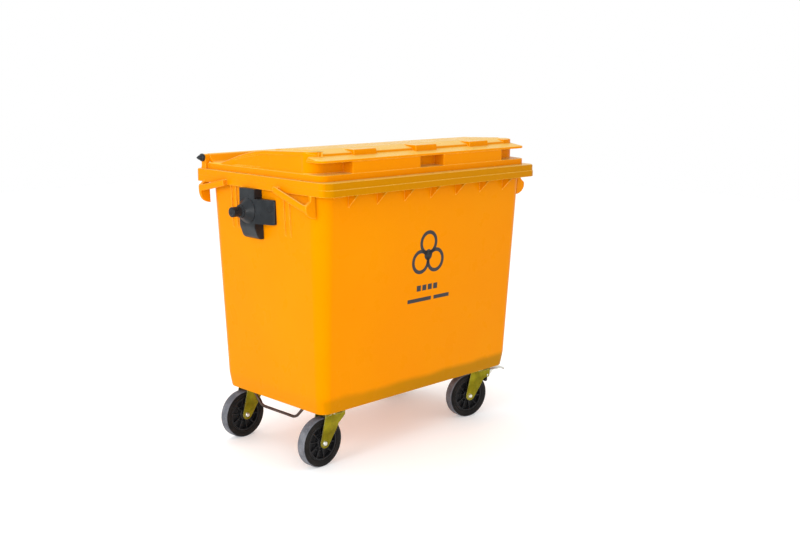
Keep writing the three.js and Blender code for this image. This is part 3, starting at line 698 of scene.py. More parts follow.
# ------------------------ lid
FALL = ((-60, 1241), (120, 1240), (250, 1164), (315, 1164))   # the deck's side curve, in Y and Z
PANEL = {"half": 555, "front": LID["front"] + 50, "rear": 201, "rise": 2.6}
BANDS = {"middles": (-214, -160, -106, -52), "half": 22, "rise": 1.6}
RECESS = {                        # in the side walls: depth, ends in Y, and edges as shares of the height
    "depth": 3.5,
    "front": (-246, -236),
    "rear": (170, 184),
    "foot": (0.02, 0.10),
    "top": (0.84, 0.93),
}
DECK_LUGS = (
    {"x": 0, "half": 62, "reach": 20, "rise": 2},
    {"x": -335, "half": 60, "reach": 12, "rise": 1},
    {"x": 335, "half": 60, "reach": 12, "rise": 1},
)
CORNER_LUGS = {-1: 35, 1: 85}     # how far the left and right corner lugs reach inwards


def smoothstep(value, low, high):
    t = min(1.0, max(0.0, (value - low) / (high - low)))
    return t * t * (3 - 2 * t)


DECK_LINE = [(LID["front"], LID["deck_front"]), (LID["front"] + LID["deck_slope"], LID["deck"]), FALL[0]]
DECK_LINE += bezier(FALL, 60)


def deck_height(y):
    for (y0, z0), (y1, z1) in zip(DECK_LINE, DECK_LINE[1:]):
        if y <= y1:
            return z0 + (z1 - z0) * (y - y0) / (y1 - y0)
    return LID["valley"]


def deck_detail(x, y):
    """The raised middle panel and the wide shallow bands that run along it."""
    panel = smoothstep(PANEL["half"] - abs(x), -3, 3)
    panel *= smoothstep(y, PANEL["front"] - 4, PANEL["front"] + 4)
    panel *= 1 - smoothstep(y, PANEL["rear"] - 5, PANEL["rear"] + 5)
    band = max(smoothstep(BANDS["half"] - abs(y - centre), -3, 3) for centre in BANDS["middles"])
    return PANEL["rise"] * panel + BANDS["rise"] * band * panel


def side_recess(x, y, share):
    """How far a side wall of the lid is set in at a share of its height."""
    if abs(x) <= LID["half"] - 1:
        return 0.0
    depth = RECESS["depth"] * smoothstep(share, *RECESS["foot"]) * (1 - smoothstep(share, *RECESS["top"]))
    return depth * smoothstep(y, *RECESS["front"]) * (1 - smoothstep(y, *RECESS["rear"]))


class LidPlan:
    """The lid's plan outline, moved inwards by an inset, and the grid of points inside it."""

    def __init__(self, half, front, rear, corner):
        self.half, self.front, self.rear, self.corner = half, front, rear, corner

    def point(self, key, share):
        """A grid point: its row is a turn round the front corner or a share of the straight side."""
        kind, value = key
        if kind == "corner":
            turn = math.radians(value)
            width = self.half - self.corner * (1 - math.cos(turn))
            return share * width, self.front + self.corner * (1 - math.sin(turn))
        return share * self.half, self.front + self.corner + value * (self.rear - self.front - self.corner)


def lid_rows():
    """Grid rows from front to rear: round the front corners, then close together where the deck bends."""
    keys = [("corner", 90 - 9 * i) for i in range(10)]
    start = LID["front"] + LID["corner"]
    places = {start, PANEL["rear"] - 6, PANEL["rear"] + 6, 300, 322, 334}
    for centre in BANDS["middles"]:
        places.update(centre + side * BANDS["half"] + edge for side in SIDES for edge in (-3, 3))
    places.update(FALL[0][0] + 12.5 * i for i in range(31))
    ordered = sorted(y for y in places if start <= y < LID["rear"] - 3)
    kept = [y for i, y in enumerate(ordered) if i == 0 or y - ordered[i - 1] > 2.5]
    keys += [("side", (y - start) / (LID["rear"] - start)) for y in kept]
    return keys + [("side", 1.0)]


def lid_shares():
    """Grid columns as shares of the half width, close together near the edges and the panel's step."""
    near_edge = [0, 0.9, 2.6, 5.0, 8.0, 14.0, 36.0, 40.0, 43.0, 46.0, 50.0]
    right = [1 - d / LID["half"] for d in near_edge]
    right += [0.78, 0.66, 0.54, 0.42, 0.30, 0.18, 0.06]
    return [-s for s in right] + sorted(right)


def edge_drop(plan, x, y, radius=8.0):
    """How far the rounded outer edge has fallen at a point of the deck."""
    cx, cy = plan.half - plan.corner, plan.front + plan.corner
    if abs(x) > cx and y < cy:
        inside = plan.corner - math.hypot(abs(x) - cx, cy - y)
    else:
        inside = min(plan.half - abs(x), y - plan.front)
    inside = max(0.0, inside)
    if inside >= radius:
        return 0.0
    return radius - math.sqrt(radius * radius - (radius - inside) ** 2)


def lid_skin():
    """The lid as one closed skin: deck, walls, flange, and the same again from inside."""
    rows, shares, skin = lid_rows(), lid_shares(), LID["skin"]
    body = LidPlan(LID["half"], LID["front"], LID["rear"], LID["corner"])
    inner = LidPlan(LID["half"] - skin, LID["front"] + skin, LID["rear"] - skin, LID["corner"] - skin)
    columns = len(shares)
    border = [(0, j) for j in range(columns)]
    border += [(k, columns - 1) for k in range(1, len(rows))]
    border += [(len(rows) - 1, j) for j in range(columns - 2, -1, -1)]
    border += [(k, 0) for k in range(len(rows) - 2, 0, -1)]
    points, faces = [], []

    def grid(plan, lift, rounded):
        first = len(points)
        for key in rows:
            for share in shares:
                x, y = plan.point(key, share)
                drop = edge_drop(plan, x, y) if rounded else 0.0
                points.append((x, y, deck_height(y) + deck_detail(x, y) + lift - drop))
        for k in range(len(rows) - 1):
            for j in range(columns - 1):
                a = first + k * columns + j
                quad = (a, a + 1, a + columns + 1, a + columns)
                faces.append(quad if rounded else quad[::-1])
        return [first + k * columns + j for k, j in border]

    def level_ring(plan, z):
        first = len(points)
        points.extend((*plan.point(rows[k], shares[j]), z) for k, j in border)
        return list(range(first, len(points)))

    def wall_ring_at(share, low, top):
        """Points of the outer wall at a share of the way from low up to the deck's edge."""
        first = len(points)
        for n, (k, j) in enumerate(border):
            x, y = body.point(rows[k], shares[j])
            z = low + (points[top[n]][2] - low) * share
            points.append((x - math.copysign(side_recess(x, y, share), x), y, z))
        return list(range(first, len(points)))

    top, bottom = LID["flange_top"], LID["bottom"]
    wall_low = top + 3
    chain = [grid(body, 0.0, True)]
    for share in (0.95, 0.92, 0.88, 0.84, 0.50, 0.12, 0.08, 0.04):
        chain.append(wall_ring_at(share, wall_low, chain[0]))
    chain.append(level_ring(body, wall_low))
    for inset, z in ((4.5, top), (1.5, top - 0.6), (0.3, top - 2.5), (0, top - 5), (0, bottom + 1.6),
                     (0.8, bottom), (4.2, bottom), (5.0, bottom + 1.6), (5.0, top - 6)):
        rear = LID["rear"] - min(inset, skin) * 0.999         # just clear of the inner wall
        flange = LidPlan(LID["flange_half"] - inset, LID["flange_front"] + inset, rear,
                         LID["flange_corner"] - inset)
        chain.append(level_ring(flange, z))
    chain.append(level_ring(inner, top - 5))
    chain.append(grid(inner, -skin, False))
    count = len(border)
    for a, b in zip(chain, chain[1:]):
        for n in range(count):
            m = (n + 1) % count
            faces.append((a[n], a[m], b[m], b[n]))
    return face_outwards(make_object("lid", points, faces))


def lid_lip():
    """The lip along the front; its top rises from the edge to the lid's wall."""
    low, top, back = LID["lip_low"], LID["lip_top"], LID["front"] + 120
    steps = ((3, low), (0.9, low + 0.9), (0, low + 3), (0, top - 3), (0.9, top - 0.9), (3, top + 0.3))
    rings = [plan_ring(LID["flange_half"] - inset, LID["flange_front"] + inset, back,
                       LID["flange_corner"] - inset, z) for inset, z in steps]
    half, front, corner = LID["half"], LID["front"], LID["corner"]
    rings.append(plan_ring(half - 1, front + 1, back, corner - 1, top + LID["lip_rise"]))
    rest = block("rest", (-700, front + 25, low - 50), (700, back + 50, top + 50), 0)
    inset = LID["skin"] - 1
    inside = loft("inside", [plan_ring(half - inset, front + inset, LID["rear"], corner - inset, z)
                             for z in (low - 40, LID["deck_front"] - inset)])
    return combine(loft("lip", rings), [rest, inside], "DIFFERENCE")


def front_push(side):
    """A shallow pad under the lip, left or right of the middle."""
    low, high = sorted((side * LID["push_from"], side * LID["push_to"]))
    front, foot, top = LID["flange_front"] + 2.5, LID["flange_top"] - 5, LID["lip_low"] + 3
    outline = [(front, foot), (front + 1.5, top), (LID["front"] + 3, top), (LID["front"] + 3, foot)]
    return prism("push", outline, low, high, "x", 4.0, 3)


def deck_lug(lug):
    """A lug on the deck's front edge; its inner side stays inside the lid's skin."""
    front, top = LID["front"] - lug["reach"], LID["deck"] + lug["rise"]
    wall, back = LID["front"] + 3, LID["front"] + LID["deck_slope"] + 4
    outline = [(front, LID["lip_top"] - 3), (front + 1, top - 6), (front + 5, top), (back, top),
               (back, LID["deck"] - 3), (wall, LID["deck_front"] - 3), (wall, LID["lip_top"] - 3)]
    return prism("lug", outline, lug["x"] - lug["half"], lug["x"] + lug["half"], "x", 2.4, 3)


def corner_lug(side, reach):
    """A corner of the deck that keeps its full height up to the lid's outline."""
    half, front, corner = LID["half"] - 0.4, LID["front"] + 0.4, LID["corner"]
    x_low = LID["half"] - reach
    outline = [(x_low, front + LID["deck_slope"]), (x_low, front)]
    outline += arc(half - corner, front + corner, corner, 270, 350, 10)
    outline = [(side * x, y) for x, y in outline]
    lug = prism("corner", outline, LID["lip_top"], LID["deck"] - 1, "z", 5, 4)
    wall, back, foot = front + 3, front + LID["deck_slope"] + 1, LID["lip_top"] - 20
    hollow = [(wall, foot), (wall, LID["deck_front"] - 3), (back, LID["deck"] - 3), (back, foot)]
    low, high = sorted((side * (half - 3), side * (x_low - 20)))
    return combine(lug, [prism("hollow", hollow, low, high, "x", 0)], "DIFFERENCE")


def hinge_barrel(low, high):
    radius, valley = BARREL["radius"], LID["valley"]
    outline = [(BARREL["foot"], valley - 4), (HINGE.y, HINGE.z - radius)]
    outline += arc(HINGE.y, HINGE.z, radius, -90, 90, 16)[1:]
    outline += bezier([(HINGE.y, HINGE.z + radius), (BARREL["bend"][0], HINGE.z + radius),
                       (BARREL["bend"][1], valley + 2), (BARREL["root"], valley - 0.5)], 8)
    return prism("barrel", outline, low, high, "x", 1.2)


def make_lid():
    lid = lid_skin()
    clear = LUG["width"] / 2 + 1
    parts = [hinge_barrel(a + clear, b - clear) for a, b in zip(LUGS, LUGS[1:])]
    parts += [lid_lip()]
    parts += [front_push(side) for side in SIDES]
    parts += [deck_lug(lug) for lug in DECK_LUGS]
    parts += [corner_lug(side, reach) for side, reach in CORNER_LUGS.items()]
    combine(lid, parts)
    combine(lid, [rod_bore(BARREL)], "DIFFERENCE")
    finish_piece(lid, "lid_shell", YELLOW, "lid", "yellow_plastic", "lid")


# ------------------------ hinge caps, trunnions, bar and drain
def make_hinge_caps():
    low, high = box_mm("hinge_cap_right")
    radius, end = (high.z - low.z) / 2, high.x - low.x
    collar = 12
    profile = [(0, 2), (radius - 1.5, 2), (radius, 3.5), (radius, collar - 4)]
    profile += arc(radius - 3, collar - 3, 3, 20, 80, 5)
    profile += bezier([(12, collar), (11, end - 12), (5, end - 5), (2.2, end - 0.6)], 6) + [(0, end)]
    cap = lathe("cap", profile, "x", (low.x, HINGE.y, HINGE.z), 48)
    finish_pair(cap, "hinge_cap_shell", "hinge_cap")


TRUNNION = {
    "y": 40,
    "z": 1003,
    "face": 640,
    "bar": (-4, 90),
    "wing": (955, 1052),
    "wing_front": -87,
    "wing_root": 560,
    "edge": 609,
    "wall_gap": 0.3,
}


def trunnion_cone(tip):
    """Cone, ring groove, collar and pin, turned about the pin's axis."""
    face = TRUNNION["face"] - 1
    neck = face + 29
    profile = [(0, face), (50, face), (50, face + 3)] + arc(48, face + 3, 2, 0, 60, 3)
    profile += [(29.5, neck - 2), (28, neck), (28, neck + 2)] + arc(26.5, neck + 2, 1.5, 0, 90, 3)
    profile += [(23, neck + 3.5), (23, neck + 6), (24.5, neck + 6)] + arc(24.5, neck + 7.5, 1.2, -90, 90, 4)
    profile += [(20, neck + 9.5), (20, tip - 5)]
    profile += arc(16, tip - 4, 4, 0, 90, 6) + [(12, tip), (11, tip - 1.5), (0, tip - 1.5)]
    return lathe("cone", profile, "x", (0, TRUNNION["y"], TRUNNION["z"]), 64)


def trunnion_bar(low_z, high_z):
    """The upright bar, whose foot curves in to the wall."""
    face, gap = TRUNNION["face"], TRUNNION["wall_gap"]
    side = [(wall_half(high_z)[0] + gap, high_z), (wall_half(low_z)[0] + gap, low_z), (face - 37, low_z)]
    side += bezier([(face - 37, low_z), (face - 26, low_z), (face - 20, low_z + 6),
                    (face - 15, low_z + 14)], 6)
    side += bezier([(face - 4, low_z + 42), (face - 1.5, low_z + 48), (face, low_z + 54),
                    (face, low_z + 62)], 4)
    side += [(face, high_z)]
    return prism("bar", side, *TRUNNION["bar"], "y", 2.6, 3)


def trunnion_wing():
    """The plate that reaches forward from the bar, with its two front corners rounded."""
    root, outer, tip = TRUNNION["wing_root"], TRUNNION["edge"], TRUNNION["wing_front"]
    face, bar_front = TRUNNION["face"] - 1, TRUNNION["bar"][0]
    plan = [(root, tip), (outer - 4, tip), (outer, tip + 3), (face, bar_front - 5), (face, bar_front + 10),
            (root, bar_front + 10)]
    bm = prism_bmesh(plan, *TRUNNION["wing"], "z")
    corners = []
    for edge in bm.edges:
        a, b = (vertex.co for vertex in edge.verts)
        if abs(a.z - b.z) < 1 and abs(a.y - b.y) < 1 and min(a.y, b.y) < tip + 1:
            corners.append(edge)
    bmesh.ops.bevel(bm, geom=corners, offset=10, segments=5, profile=0.5, affect="EDGES")
    round_edges(bm, 1.4, 2, 40)
    return from_bmesh("wing", bm)


def make_trunnions():
    low, high = box_mm("trunnion_right")
    bracket = combine(trunnion_bar(low.z, high.z), [trunnion_wing(), trunnion_cone(high.x)])
    (low_x, low_z), (high_x, high_z) = ((wall_half(z)[0] + TRUNNION["wall_gap"], z)
                                        for z in (low.z - 30, high.z + 30))
    outline = [(400, low_z), (low_x, low_z), (high_x, high_z), (400, high_z)]
    combine(bracket, [prism("wall", outline, -200, 200, "y", 0)], "DIFFERENCE")
    finish_pair(bracket, "trunnion_shell", "trunnion")


def tube_along(name, path, radius, facets=20):
    """A round bar swept along points that lie in one plane of constant X."""
    turns = [2 * math.pi * k / facets for k in range(facets)]
    side = Vector((1, 0, 0))
    rings = []
    for i, centre in enumerate(path):
        before, after = Vector(path[max(0, i - 1)]), Vector(path[min(len(path) - 1, i + 1)])
        up = (after - before).normalized().cross(side)
        rings.append([Vector(centre) + side * radius * math.cos(t) + up * radius * math.sin(t)
                      for t in turns])
    return loft(name, rings)


def make_tow_bar():
    """A round bar bent down and back up between two screwed feet."""
    low, high = box_mm("tow_bar")
    x, radius, bend = (low.x + high.x) / 2, 6, 20
    half_top, half_bottom = high.y - 20, 108
    top, bottom = high.z - 2.5, low.z + radius
    leg = Vector((half_top - half_bottom, top - bottom)).normalized()
    across = Vector((bend, 0))
    corner = Vector((half_bottom, bottom))
    start, end = corner + leg * bend, corner - across
    half = [(half_top, top), tuple(start)]
    half += bezier([start, start - leg * bend * 0.6, end + across * 0.6, end], 8)
    path = [(x, y, z) for y, z in half] + [(x, -y, z) for y, z in reversed(half)]
    fixings = [block("foot", (x - 14, side * half_top - 20, high.z - 5),
                     (x + 14, side * half_top + 20, high.z), 1.2) for side in SIDES]
    head = [(0, high.z - 9), (5, high.z - 9), (6, high.z - 8), (6, high.z - 4.8), (0, high.z - 4.8)]
    fixings += [lathe("screw", head, "z", (x, side * (half_top + 12), 0), 24) for side in SIDES]
    bar = combine(tube_along("bar", path, radius), fixings)
    finish_piece(bar, "tow_bar_round", DARK_STEEL, "tub", "dark_steel", "tow_bar")


def make_drain():
    """The floor's plug, with a grip under its flange."""
    low, high = box_mm("drain_plug")
    x, y = middle("drain_plug").xy
    top, flange = high.z, middle("drain_seal").z - 1.8
    profile = [(0, flange - 6), (38, flange - 6), (41, flange - 4.5), (42, flange - 3), (42, flange),
               (29, flange), (29, top - 2), (27, top), (0, top)]
    plug = lathe("plug", profile, "z", (x, y, 0), 48)
    combine(plug, [block("grip", (x - 22, y - 3, low.z), (x + 22, y + 3, flange - 3), 1.5)])
    finish_piece(plug, "drain_plug_shell", BLACK, "tub", "black_plastic", "drain_plug")


# ------------------------ casters (built facing -X, then turned)
CASTER = {"trail": 74, "wheel": 100, "half_tyre": 23, "rim": 72, "leg_out": 36, "leg_end": 20, "ribs": 10}
AXLE_AT = (-CASTER["trail"], 0, CASTER["wheel"])
PIN_AT = (0, 0, 0)
AXLE_HOLE = 6.4
PIN_HOLE = 8.6


def rest_turn(name):
    """How far a caster is turned at rest, in degrees, from where its axle stands."""
    plate, axle = middle(f"caster_plate_{name}"), middle(f"axle_{name}")
    behind = math.copysign(180, axle.y - plate.y)
    return math.degrees(math.atan2(axle.y - plate.y, axle.x - plate.x)) - behind


def set_down(obj, name):
    """Turns a caster's piece to its rest angle and moves it under the caster's plate."""
    plate = middle(f"caster_plate_{name}")
    turn = Matrix.Rotation(math.radians(rest_turn(name)), 4, "Z")
    obj.data.transform(Matrix.Translation(Vector((plate.x, plate.y, 0)) * MM) @ turn)
    return obj


def tyre_shell():
    """A solid tyre with a flat tread and two stepped rings on each side."""
    rim, wheel, half = CASTER["rim"] + 0.3, CASTER["wheel"], CASTER["half_tyre"]
    side = [(rim, 17), (rim + 1.2, 20), (rim + 4, 21), (rim + 6.5, 20.2), (rim + 8, 20.8),
            (rim + 11, half - 0.4), (rim + 14, half), (rim + 16.5, half - 0.6), (rim + 17.3, half - 2.2),
            (rim + 19.2, half - 2.6)]
    side += arc(wheel - 6.5, half - 9, 6.5, 62, 12, 5) + [(wheel - 0.1, half - 9.2), (wheel, half - 10.5)]
    tyre = lathe("tyre", both_sides(side), "y", AXLE_AT, 112, closed=True)
    for material in (SIDE_RUBBER, TREAD_RUBBER):
        tyre.data.materials.append(material)
    tread_from = wheel - 3.2
    for face in tyre.data.polygons:
        offset = face.center / MM - Vector(AXLE_AT)
        face.material_index = int(math.hypot(offset.x, offset.z) > tread_from)
    return tyre


def wheel_shell():
    """Rim ring, thin web, ribs and a stepped hub."""
    rim, ribs = CASTER["rim"], CASTER["ribs"]
    ring = [(rim - 9, 4), (rim - 7, 17), (rim - 6, 19), (rim - 1, 19), (rim, 17.5)]
    hub = [(10.4, 25), (17, 25), (18.5, 23.5), (18.5, 15), (22, 13)]
    wheel = lathe("wheel", both_sides(ring), "y", AXLE_AT, 80, closed=True)
    parts = [flat_ring(12, rim - 8, -3, 3, "y", AXLE_AT, 80)]
    parts += [lathe("hub", both_sides(hub), "y", AXLE_AT, 48, closed=True)]
    rib_plan = [(19, -12), (rim - 6, -15.5), (rim - 6, 15.5), (19, 12)]
    for i in range(ribs):
        rib = prism("rib", rib_plan, -1.8, 1.8, "z", 0.8)
        turn = Matrix.Rotation(math.radians(360 / ribs * i + 9), 4, "Y")
        rib.data.transform(Matrix.Translation(Vector(AXLE_AT) * MM) @ turn)
        parts.append(rib)
    parts += [flat_ring(34, 36, side * 2, side * 6.5, "y", AXLE_AT, 64) for side in SIDES]
    return combine(wheel, parts)


def fork_leg(side, braked):
    """One pressed leg: a strip down to the axle and a wing that leans forward from the crease."""
    trail, wheel, end = CASTER["trail"], CASTER["wheel"], CASTER["leg_end"]
    outline = [(-68, 215), (-trail - end + 0.4, wheel + 6)]
    outline += arc(-trail, wheel, end, 180, 318, 12)
    outline += bezier([(-58, 85), (-38, 118), (-14, 142), (-2, 168)], 6)
    outline += [(9, 174), (31, 175), (33, 180), (36, 200)] if braked else [(22, 186), (34, 198)]
    outline += [(35, 215)]
    bm = prism_bmesh(outline, -2.3, 2.3, "y")
    crease_top, crease_low = Vector((-40, 0, 216)), Vector((-62, 0, 80))
    behind = (crease_low - crease_top).cross(Vector((0, 1, 0))).normalized()
    if behind.x > 0:
        behind.negate()
    bmesh.ops.bisect_plane(bm, geom=bm.verts[:] + bm.edges[:] + bm.faces[:], dist=0.01,
                           plane_co=crease_top, plane_no=behind)
    round_edges(bm, 1.0, 2, 40)
    for vertex in bm.verts:
        distance = (vertex.co - crease_top).dot(behind)
        bend = -0.16 * max(0.0, distance) - 0.05 * max(0.0, -distance)
        vertex.co.y = side * (CASTER["leg_out"] - 2.5 + vertex.co.y + bend)
    return from_bmesh("leg", bm)


def fork_shell(braked):
    """A round crown, its shoulder, two legs and the axle's bosses."""
    crown = [(8.5, 208), (38, 208), (41, 209.5), (42, 212), (41.5, 214.5), (39.5, 216), (8.5, 216)]
    fork = lathe("crown", crown, "z", PIN_AT, 64, closed=True)
    shoulder = [(-68, -35), (34, -35), (34, 35), (-68, 35)]
    parts = [prism("shoulder", shoulder, 209, 215.6, "z", 2.2, 3)]
    parts += [fork_leg(side, braked) for side in SIDES]
    for side in SIDES:
        low, high = sorted((side * (CASTER["leg_out"] - 9), side * (CASTER["leg_out"] - 3.6)))
        parts.append(flat_ring(AXLE_HOLE, 12.5, low, high, "y", AXLE_AT, 32))
    combine(fork, parts)
    holes = [bore(PIN_HOLE, 190, 230, "z", PIN_AT), bore(AXLE_HOLE, -60, 60, "y", AXLE_AT)]
    return combine(fork, holes, "DIFFERENCE")


def bearing_shell():
    """The swivel head: two pressed races with a dark gap between them."""
    profile = [(PIN_HOLE, 216.4), (33, 216.4), (35.5, 217.6), (36, 219.5), (35, 221), (33.2, 221.6),
               (33.2, 223), (35, 223.6), (35.4, 225.4), (34, 228), (31, 228.6), (PIN_HOLE, 228.6)]
    return lathe("bearing", profile, "z", PIN_AT, 64, closed=True)


def axle_shell():
    """A riveted axle with a domed head and a hexagon nut."""
    out = CASTER["leg_out"] - 4.5
    rivet = [(0, -out - 8.4), (4, -out - 8), (7.5, -out - 6.4), (9.4, -out - 3.4), (9.8, -out - 0.6),
             (6, -out - 0.4), (6, out + 0.4), (11, out + 0.6), (11, out + 2.2), (5.6, out + 2.4),
             (5.6, out + 8.6), (4.6, out + 9.4), (0, out + 9.4)]
    nut = [(0, out + 2.3), (8.4, out + 2.3), (9.2, out + 3.2), (9.2, out + 6.6), (8.4, out + 7.4),
           (0, out + 7.4)]
    axle = lathe("axle", rivet, "y", AXLE_AT, 32)
    return combine(axle, [lathe("nut", nut, "y", AXLE_AT, 6)])


PEDAL = {"x": 21, "z": 185, "plate": 203, "half": 28, "reach": 122, "treads": 4, "tread_pitch": 11}


def pedal_shell():
    """A bent foot plate with a turned-down lip, two cheeks, a cross plate and its pivot pin."""
    x, z, top = PEDAL["x"], PEDAL["z"], PEDAL["plate"]
    reach, half = PEDAL["reach"], PEDAL["half"]
    side = [(x + 20, top), (reach - 9, top), (reach - 3, top - 3), (reach - 3, top - 8), (reach, top - 8)]
    side += [(reach, top - 1), (reach - 2, top + 2), (reach - 6, top + 3), (x + 20, top + 3)]
    cheek = [(x - 7, z - 5), (x - 6, z + 6), (x + 4, z + 10), (x + 22, top + 1), (x + 46, top + 1),
             (x + 34, top - 7), (x + 14, z - 8), (x + 4, z - 9), (x - 4, z - 9)]
    pin = both_sides([(0, 35.5), (3.2, 35.5), (4, 34.8)])
    parts = [prism("cheek", cheek, low, low + 3, "y", 0.7) for low in (-24, 21)]
    parts += [block("cross", (x - 4, -22, z - 9), (x + 11, 22, z - 5.4), 0.8)]
    parts += [lathe("pin", pin, "y", (x, 0, z), 24)]
    for i in range(PEDAL["treads"]):
        end = reach - 14 - PEDAL["tread_pitch"] * i
        parts.append(block("tread", (end - 4, 7 - half, top + 2), (end, half - 7, top + 3.6), 0.7))
    return combine(prism("plate", side, -half, half, "y", 1.0), parts)


def brake_block_shell():
    x, top = PEDAL["x"], PEDAL["z"] - 9.4
    outline = [(x - 1.2, top), (x + 12.5, top), (x + 12.5, top - 20), (x + 8, top - 25.6),
               (x - 0.6, top - 25.6), (x - 1.2, top - 18)]
    return prism("brake_block", outline, -17, 17, "y", 1.5)


def make_caster(name):
    """One caster's pieces: mesh, name, material, body, look and CAD node."""
    braked = name in BRAKED
    pieces = [
        (fork_shell(braked), "fork_shell", YELLOW_ZINC, "fork", "yellow_zinc", "fork"),
        (bearing_shell(), "swivel_head", YELLOW_ZINC, "fork", "yellow_zinc", "swivel_bearing"),
        (axle_shell(), "axle_rivet", WHITE_ZINC, "fork", "white_zinc", "axle"),
        (tyre_shell(), "tyre_shell", None, "wheel", "rubber", "tyre"),
        (wheel_shell(), "wheel_shell", WHEEL_BLACK, "wheel", "wheel_plastic", "wheel_centre"),
    ]
    if braked:
        pieces += [
            (pedal_shell(), "pedal_shell", WHITE_ZINC, "brake", "white_zinc", "brake_pedal"),
            (brake_block_shell(), "brake_pad", SIDE_RUBBER, "brake", "rubber", "brake_block"),
        ]
    for obj, piece, material, body, slot, node in pieces:
        set_down(obj, name)
        finish_piece(obj, f"{piece}_{name}", material, f"{body}_{name}", slot, f"{node}_{name}")


# ------------------------ printed mark on the front wall
MARK = {"middle": 801, "reach": 102, "lobe": 51, "lobe_hole": 0.70, "hub": (11, 23)}
BLOCKS = {"from": -60, "count": 4, "pitch": 33, "width": 24, "low": 652, "high": 676}
RULES = {"spans": ((-112, 28), (44, 138)), "low": 607, "high": 623}
INK_LIFT = (0.05, 0.45)           # the ink's two faces, in front of the wall


def on_front_wall(x, z, lift):
    """A point just in front of the tub's leaning front wall."""
    return x, -wall_half(z)[1] - lift, z


def ink_ring(cx, cz, inner, outer, steps=48):
    """A thin ring of ink that follows the wall."""
    near, far = INK_LIFT
    rings = []
    for i in range(steps):
        turn = math.radians(360 * i / steps)
        c, s = math.cos(turn), math.sin(turn)
        rings.append([on_front_wall(cx + r * c, cz + r * s, lift)
                      for r, lift in ((inner, near), (outer, near), (outer, far), (inner, far))])
    return loft("ink", rings, closed=True)


def ink_bar(x_low, x_high, z_low, z_high):
    """A thin bar of ink that follows the wall."""
    corners = ((x_low, z_low), (x_high, z_low), (x_high, z_high), (x_low, z_high))
    return loft("ink", [[on_front_wall(x, z, lift) for x, z in corners] for lift in INK_LIFT])


def make_mark():
    """Three plain rings round a fourth, a row of blocks and two plain rules."""
    lobe, middle_z = MARK["lobe"], MARK["middle"]
    parts = []
    for i in range(3):
        turn = math.radians(90 + 120 * i)
        out = MARK["reach"] - lobe
        cx, cz = out * math.cos(turn), middle_z + out * math.sin(turn)
        parts.append(ink_ring(cx, cz, lobe * MARK["lobe_hole"], lobe))
    parts.append(ink_ring(0, middle_z, *MARK["hub"], steps=36))
    for i in range(BLOCKS["count"]):
        left = BLOCKS["from"] + BLOCKS["pitch"] * i
        parts.append(ink_bar(left, left + BLOCKS["width"], BLOCKS["low"], BLOCKS["high"]))
    parts += [ink_bar(*span, RULES["low"], RULES["high"]) for span in RULES["spans"]]
    finish_piece(gather("mark", parts), "printed_mark", INK, "tub", "black_plastic")


# ------------------------ CAD pieces that stay
def dress_cad_nodes():
    """Gives the small turned and pressed CAD pieces a rounded edge and a real finish."""
    looks = {"hinge_rod": (DARK_STEEL, 0.5), "drain_seal": (SIDE_RUBBER, 0.5)}
    for name in CASTERS:
        looks[f"caster_plate_{name}"] = (YELLOW_ZINC, 0.9)
        looks[f"wheel_bush_{name}"] = (WHITE_ZINC, 0.4)
        for i in BOLTS:
            looks[f"caster_bolt_{name}_{i}"] = (WHITE_ZINC, 0.5)
    for node, (material, width) in looks.items():
        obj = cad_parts[node]
        obj.data.materials.clear()
        obj.data.materials.append(material)
        for face in obj.data.polygons:
            face.material_index = 0
        bevel = obj.modifiers.new("rounded edges", "BEVEL")
        bevel.width = width * MM
        bevel.segments = 2
        bevel.limit_method = "ANGLE"
        bevel.angle_limit = math.radians(40)
        weighted = obj.modifiers.new("weighted normals", "WEIGHTED_NORMAL")
        weighted.keep_sharp = False


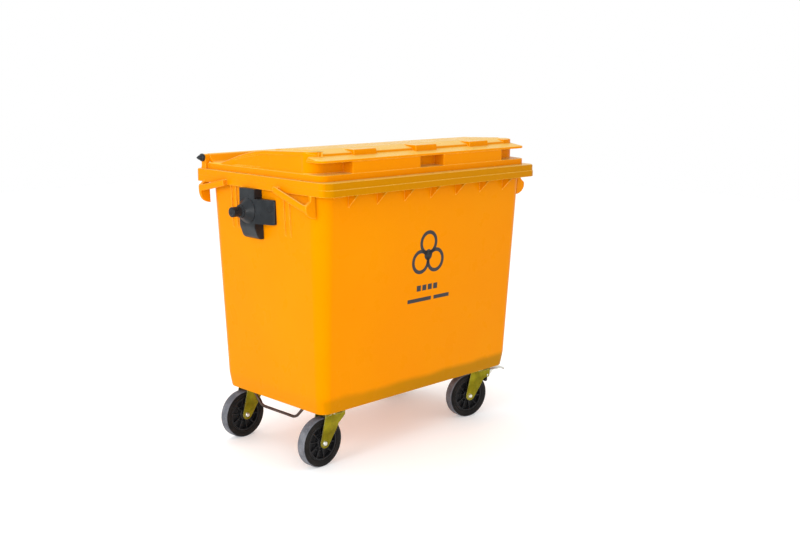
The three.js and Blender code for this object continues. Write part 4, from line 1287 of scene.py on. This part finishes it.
# ------------------------ studio
PALE_FLOOR = (0.84, 0.84, 0.84)
FLOOR_REACH = 9000
LIGHTS = (                        # places and sizes in metres, power in watts
    {"name": "key", "place": (-5.0, -0.6, 2.4), "target": (-0.3, 0, 0.7), "size": 2.2, "power": 100},
    {"name": "fill", "place": (-4.0, -4.8, 1.6), "target": (0, 0, 0.8), "size": 3.0, "power": 130},
    {"name": "top", "place": (0.3, 1.5, 4.2), "target": (0, 0, 1.1), "size": 2.4, "power": 35},
)
CAMERA = {                        # angles in degrees, lens in millimetres, place in metres
    "azimuth": -45.52,
    "elevation": 10.63,
    "roll": 0.56,
    "lens": 49.6,
    "sensor": 36,
    "place": (-3.2724, -3.3864, 1.5894),
}


def pale_floor():
    n = Nodes("studio_floor")
    colour = n.mix(n.noise(1.2), PALE_FLOOR, tuple(c * 1.02 for c in PALE_FLOOR))
    n.set(Base_Color=colour, Roughness=0.6, Specular_IOR_Level=0.1, Emission_Color=colour,
          Emission_Strength=0.25)
    corners = [(x * FLOOR_REACH, y * FLOOR_REACH, 0) for x, y in ((-1, -1), (1, -1), (1, 1), (-1, 1))]
    floor = make_object("floor", corners, [(0, 1, 2, 3)])
    floor.data.materials.append(n.material)


def area_light(name, place, target, size, power):
    data = bpy.data.lights.new(name, "AREA")
    data.shape = "SQUARE"
    data.size = size
    data.energy = power
    light = add_object(name, data)
    light.location = place
    light.rotation_euler = (Vector(target) - Vector(place)).to_track_quat("-Z", "Y").to_euler()


def studio():
    world = bpy.data.worlds.new("studio")
    world.use_nodes = True
    background = world.node_tree.nodes["Background"]
    background.inputs["Color"].default_value = (1.0, 1.0, 1.0, 1.0)
    background.inputs["Strength"].default_value = 1.0
    bpy.context.scene.world = world
    for light in LIGHTS:
        area_light(**light)


def camera():
    data = bpy.data.cameras.new("camera")
    data.lens = CAMERA["lens"]
    data.sensor_width = CAMERA["sensor"]
    turn, lift = math.radians(CAMERA["azimuth"]), math.radians(CAMERA["elevation"])
    ahead = Vector((-math.sin(turn) * math.cos(lift), math.cos(turn) * math.cos(lift), -math.sin(lift)))
    roll = Matrix.Rotation(math.radians(CAMERA["roll"]), 3, "Z").to_quaternion()
    obj = add_object("camera", data)
    obj.rotation_mode = "QUATERNION"
    obj.rotation_quaternion = ahead.to_track_quat("-Z", "Y") @ roll
    obj.location = CAMERA["place"]
    bpy.context.scene.camera = obj
    bpy.context.scene.view_settings.view_transform = "Standard"


# ------------------------ build
make_tub()
make_lid()
make_hinge_caps()
make_trunnions()
make_tow_bar()
make_drain()
for caster_name in CASTERS:
    make_caster(caster_name)
make_mark()
dress_cad_nodes()
pale_floor()
studio()
camera()
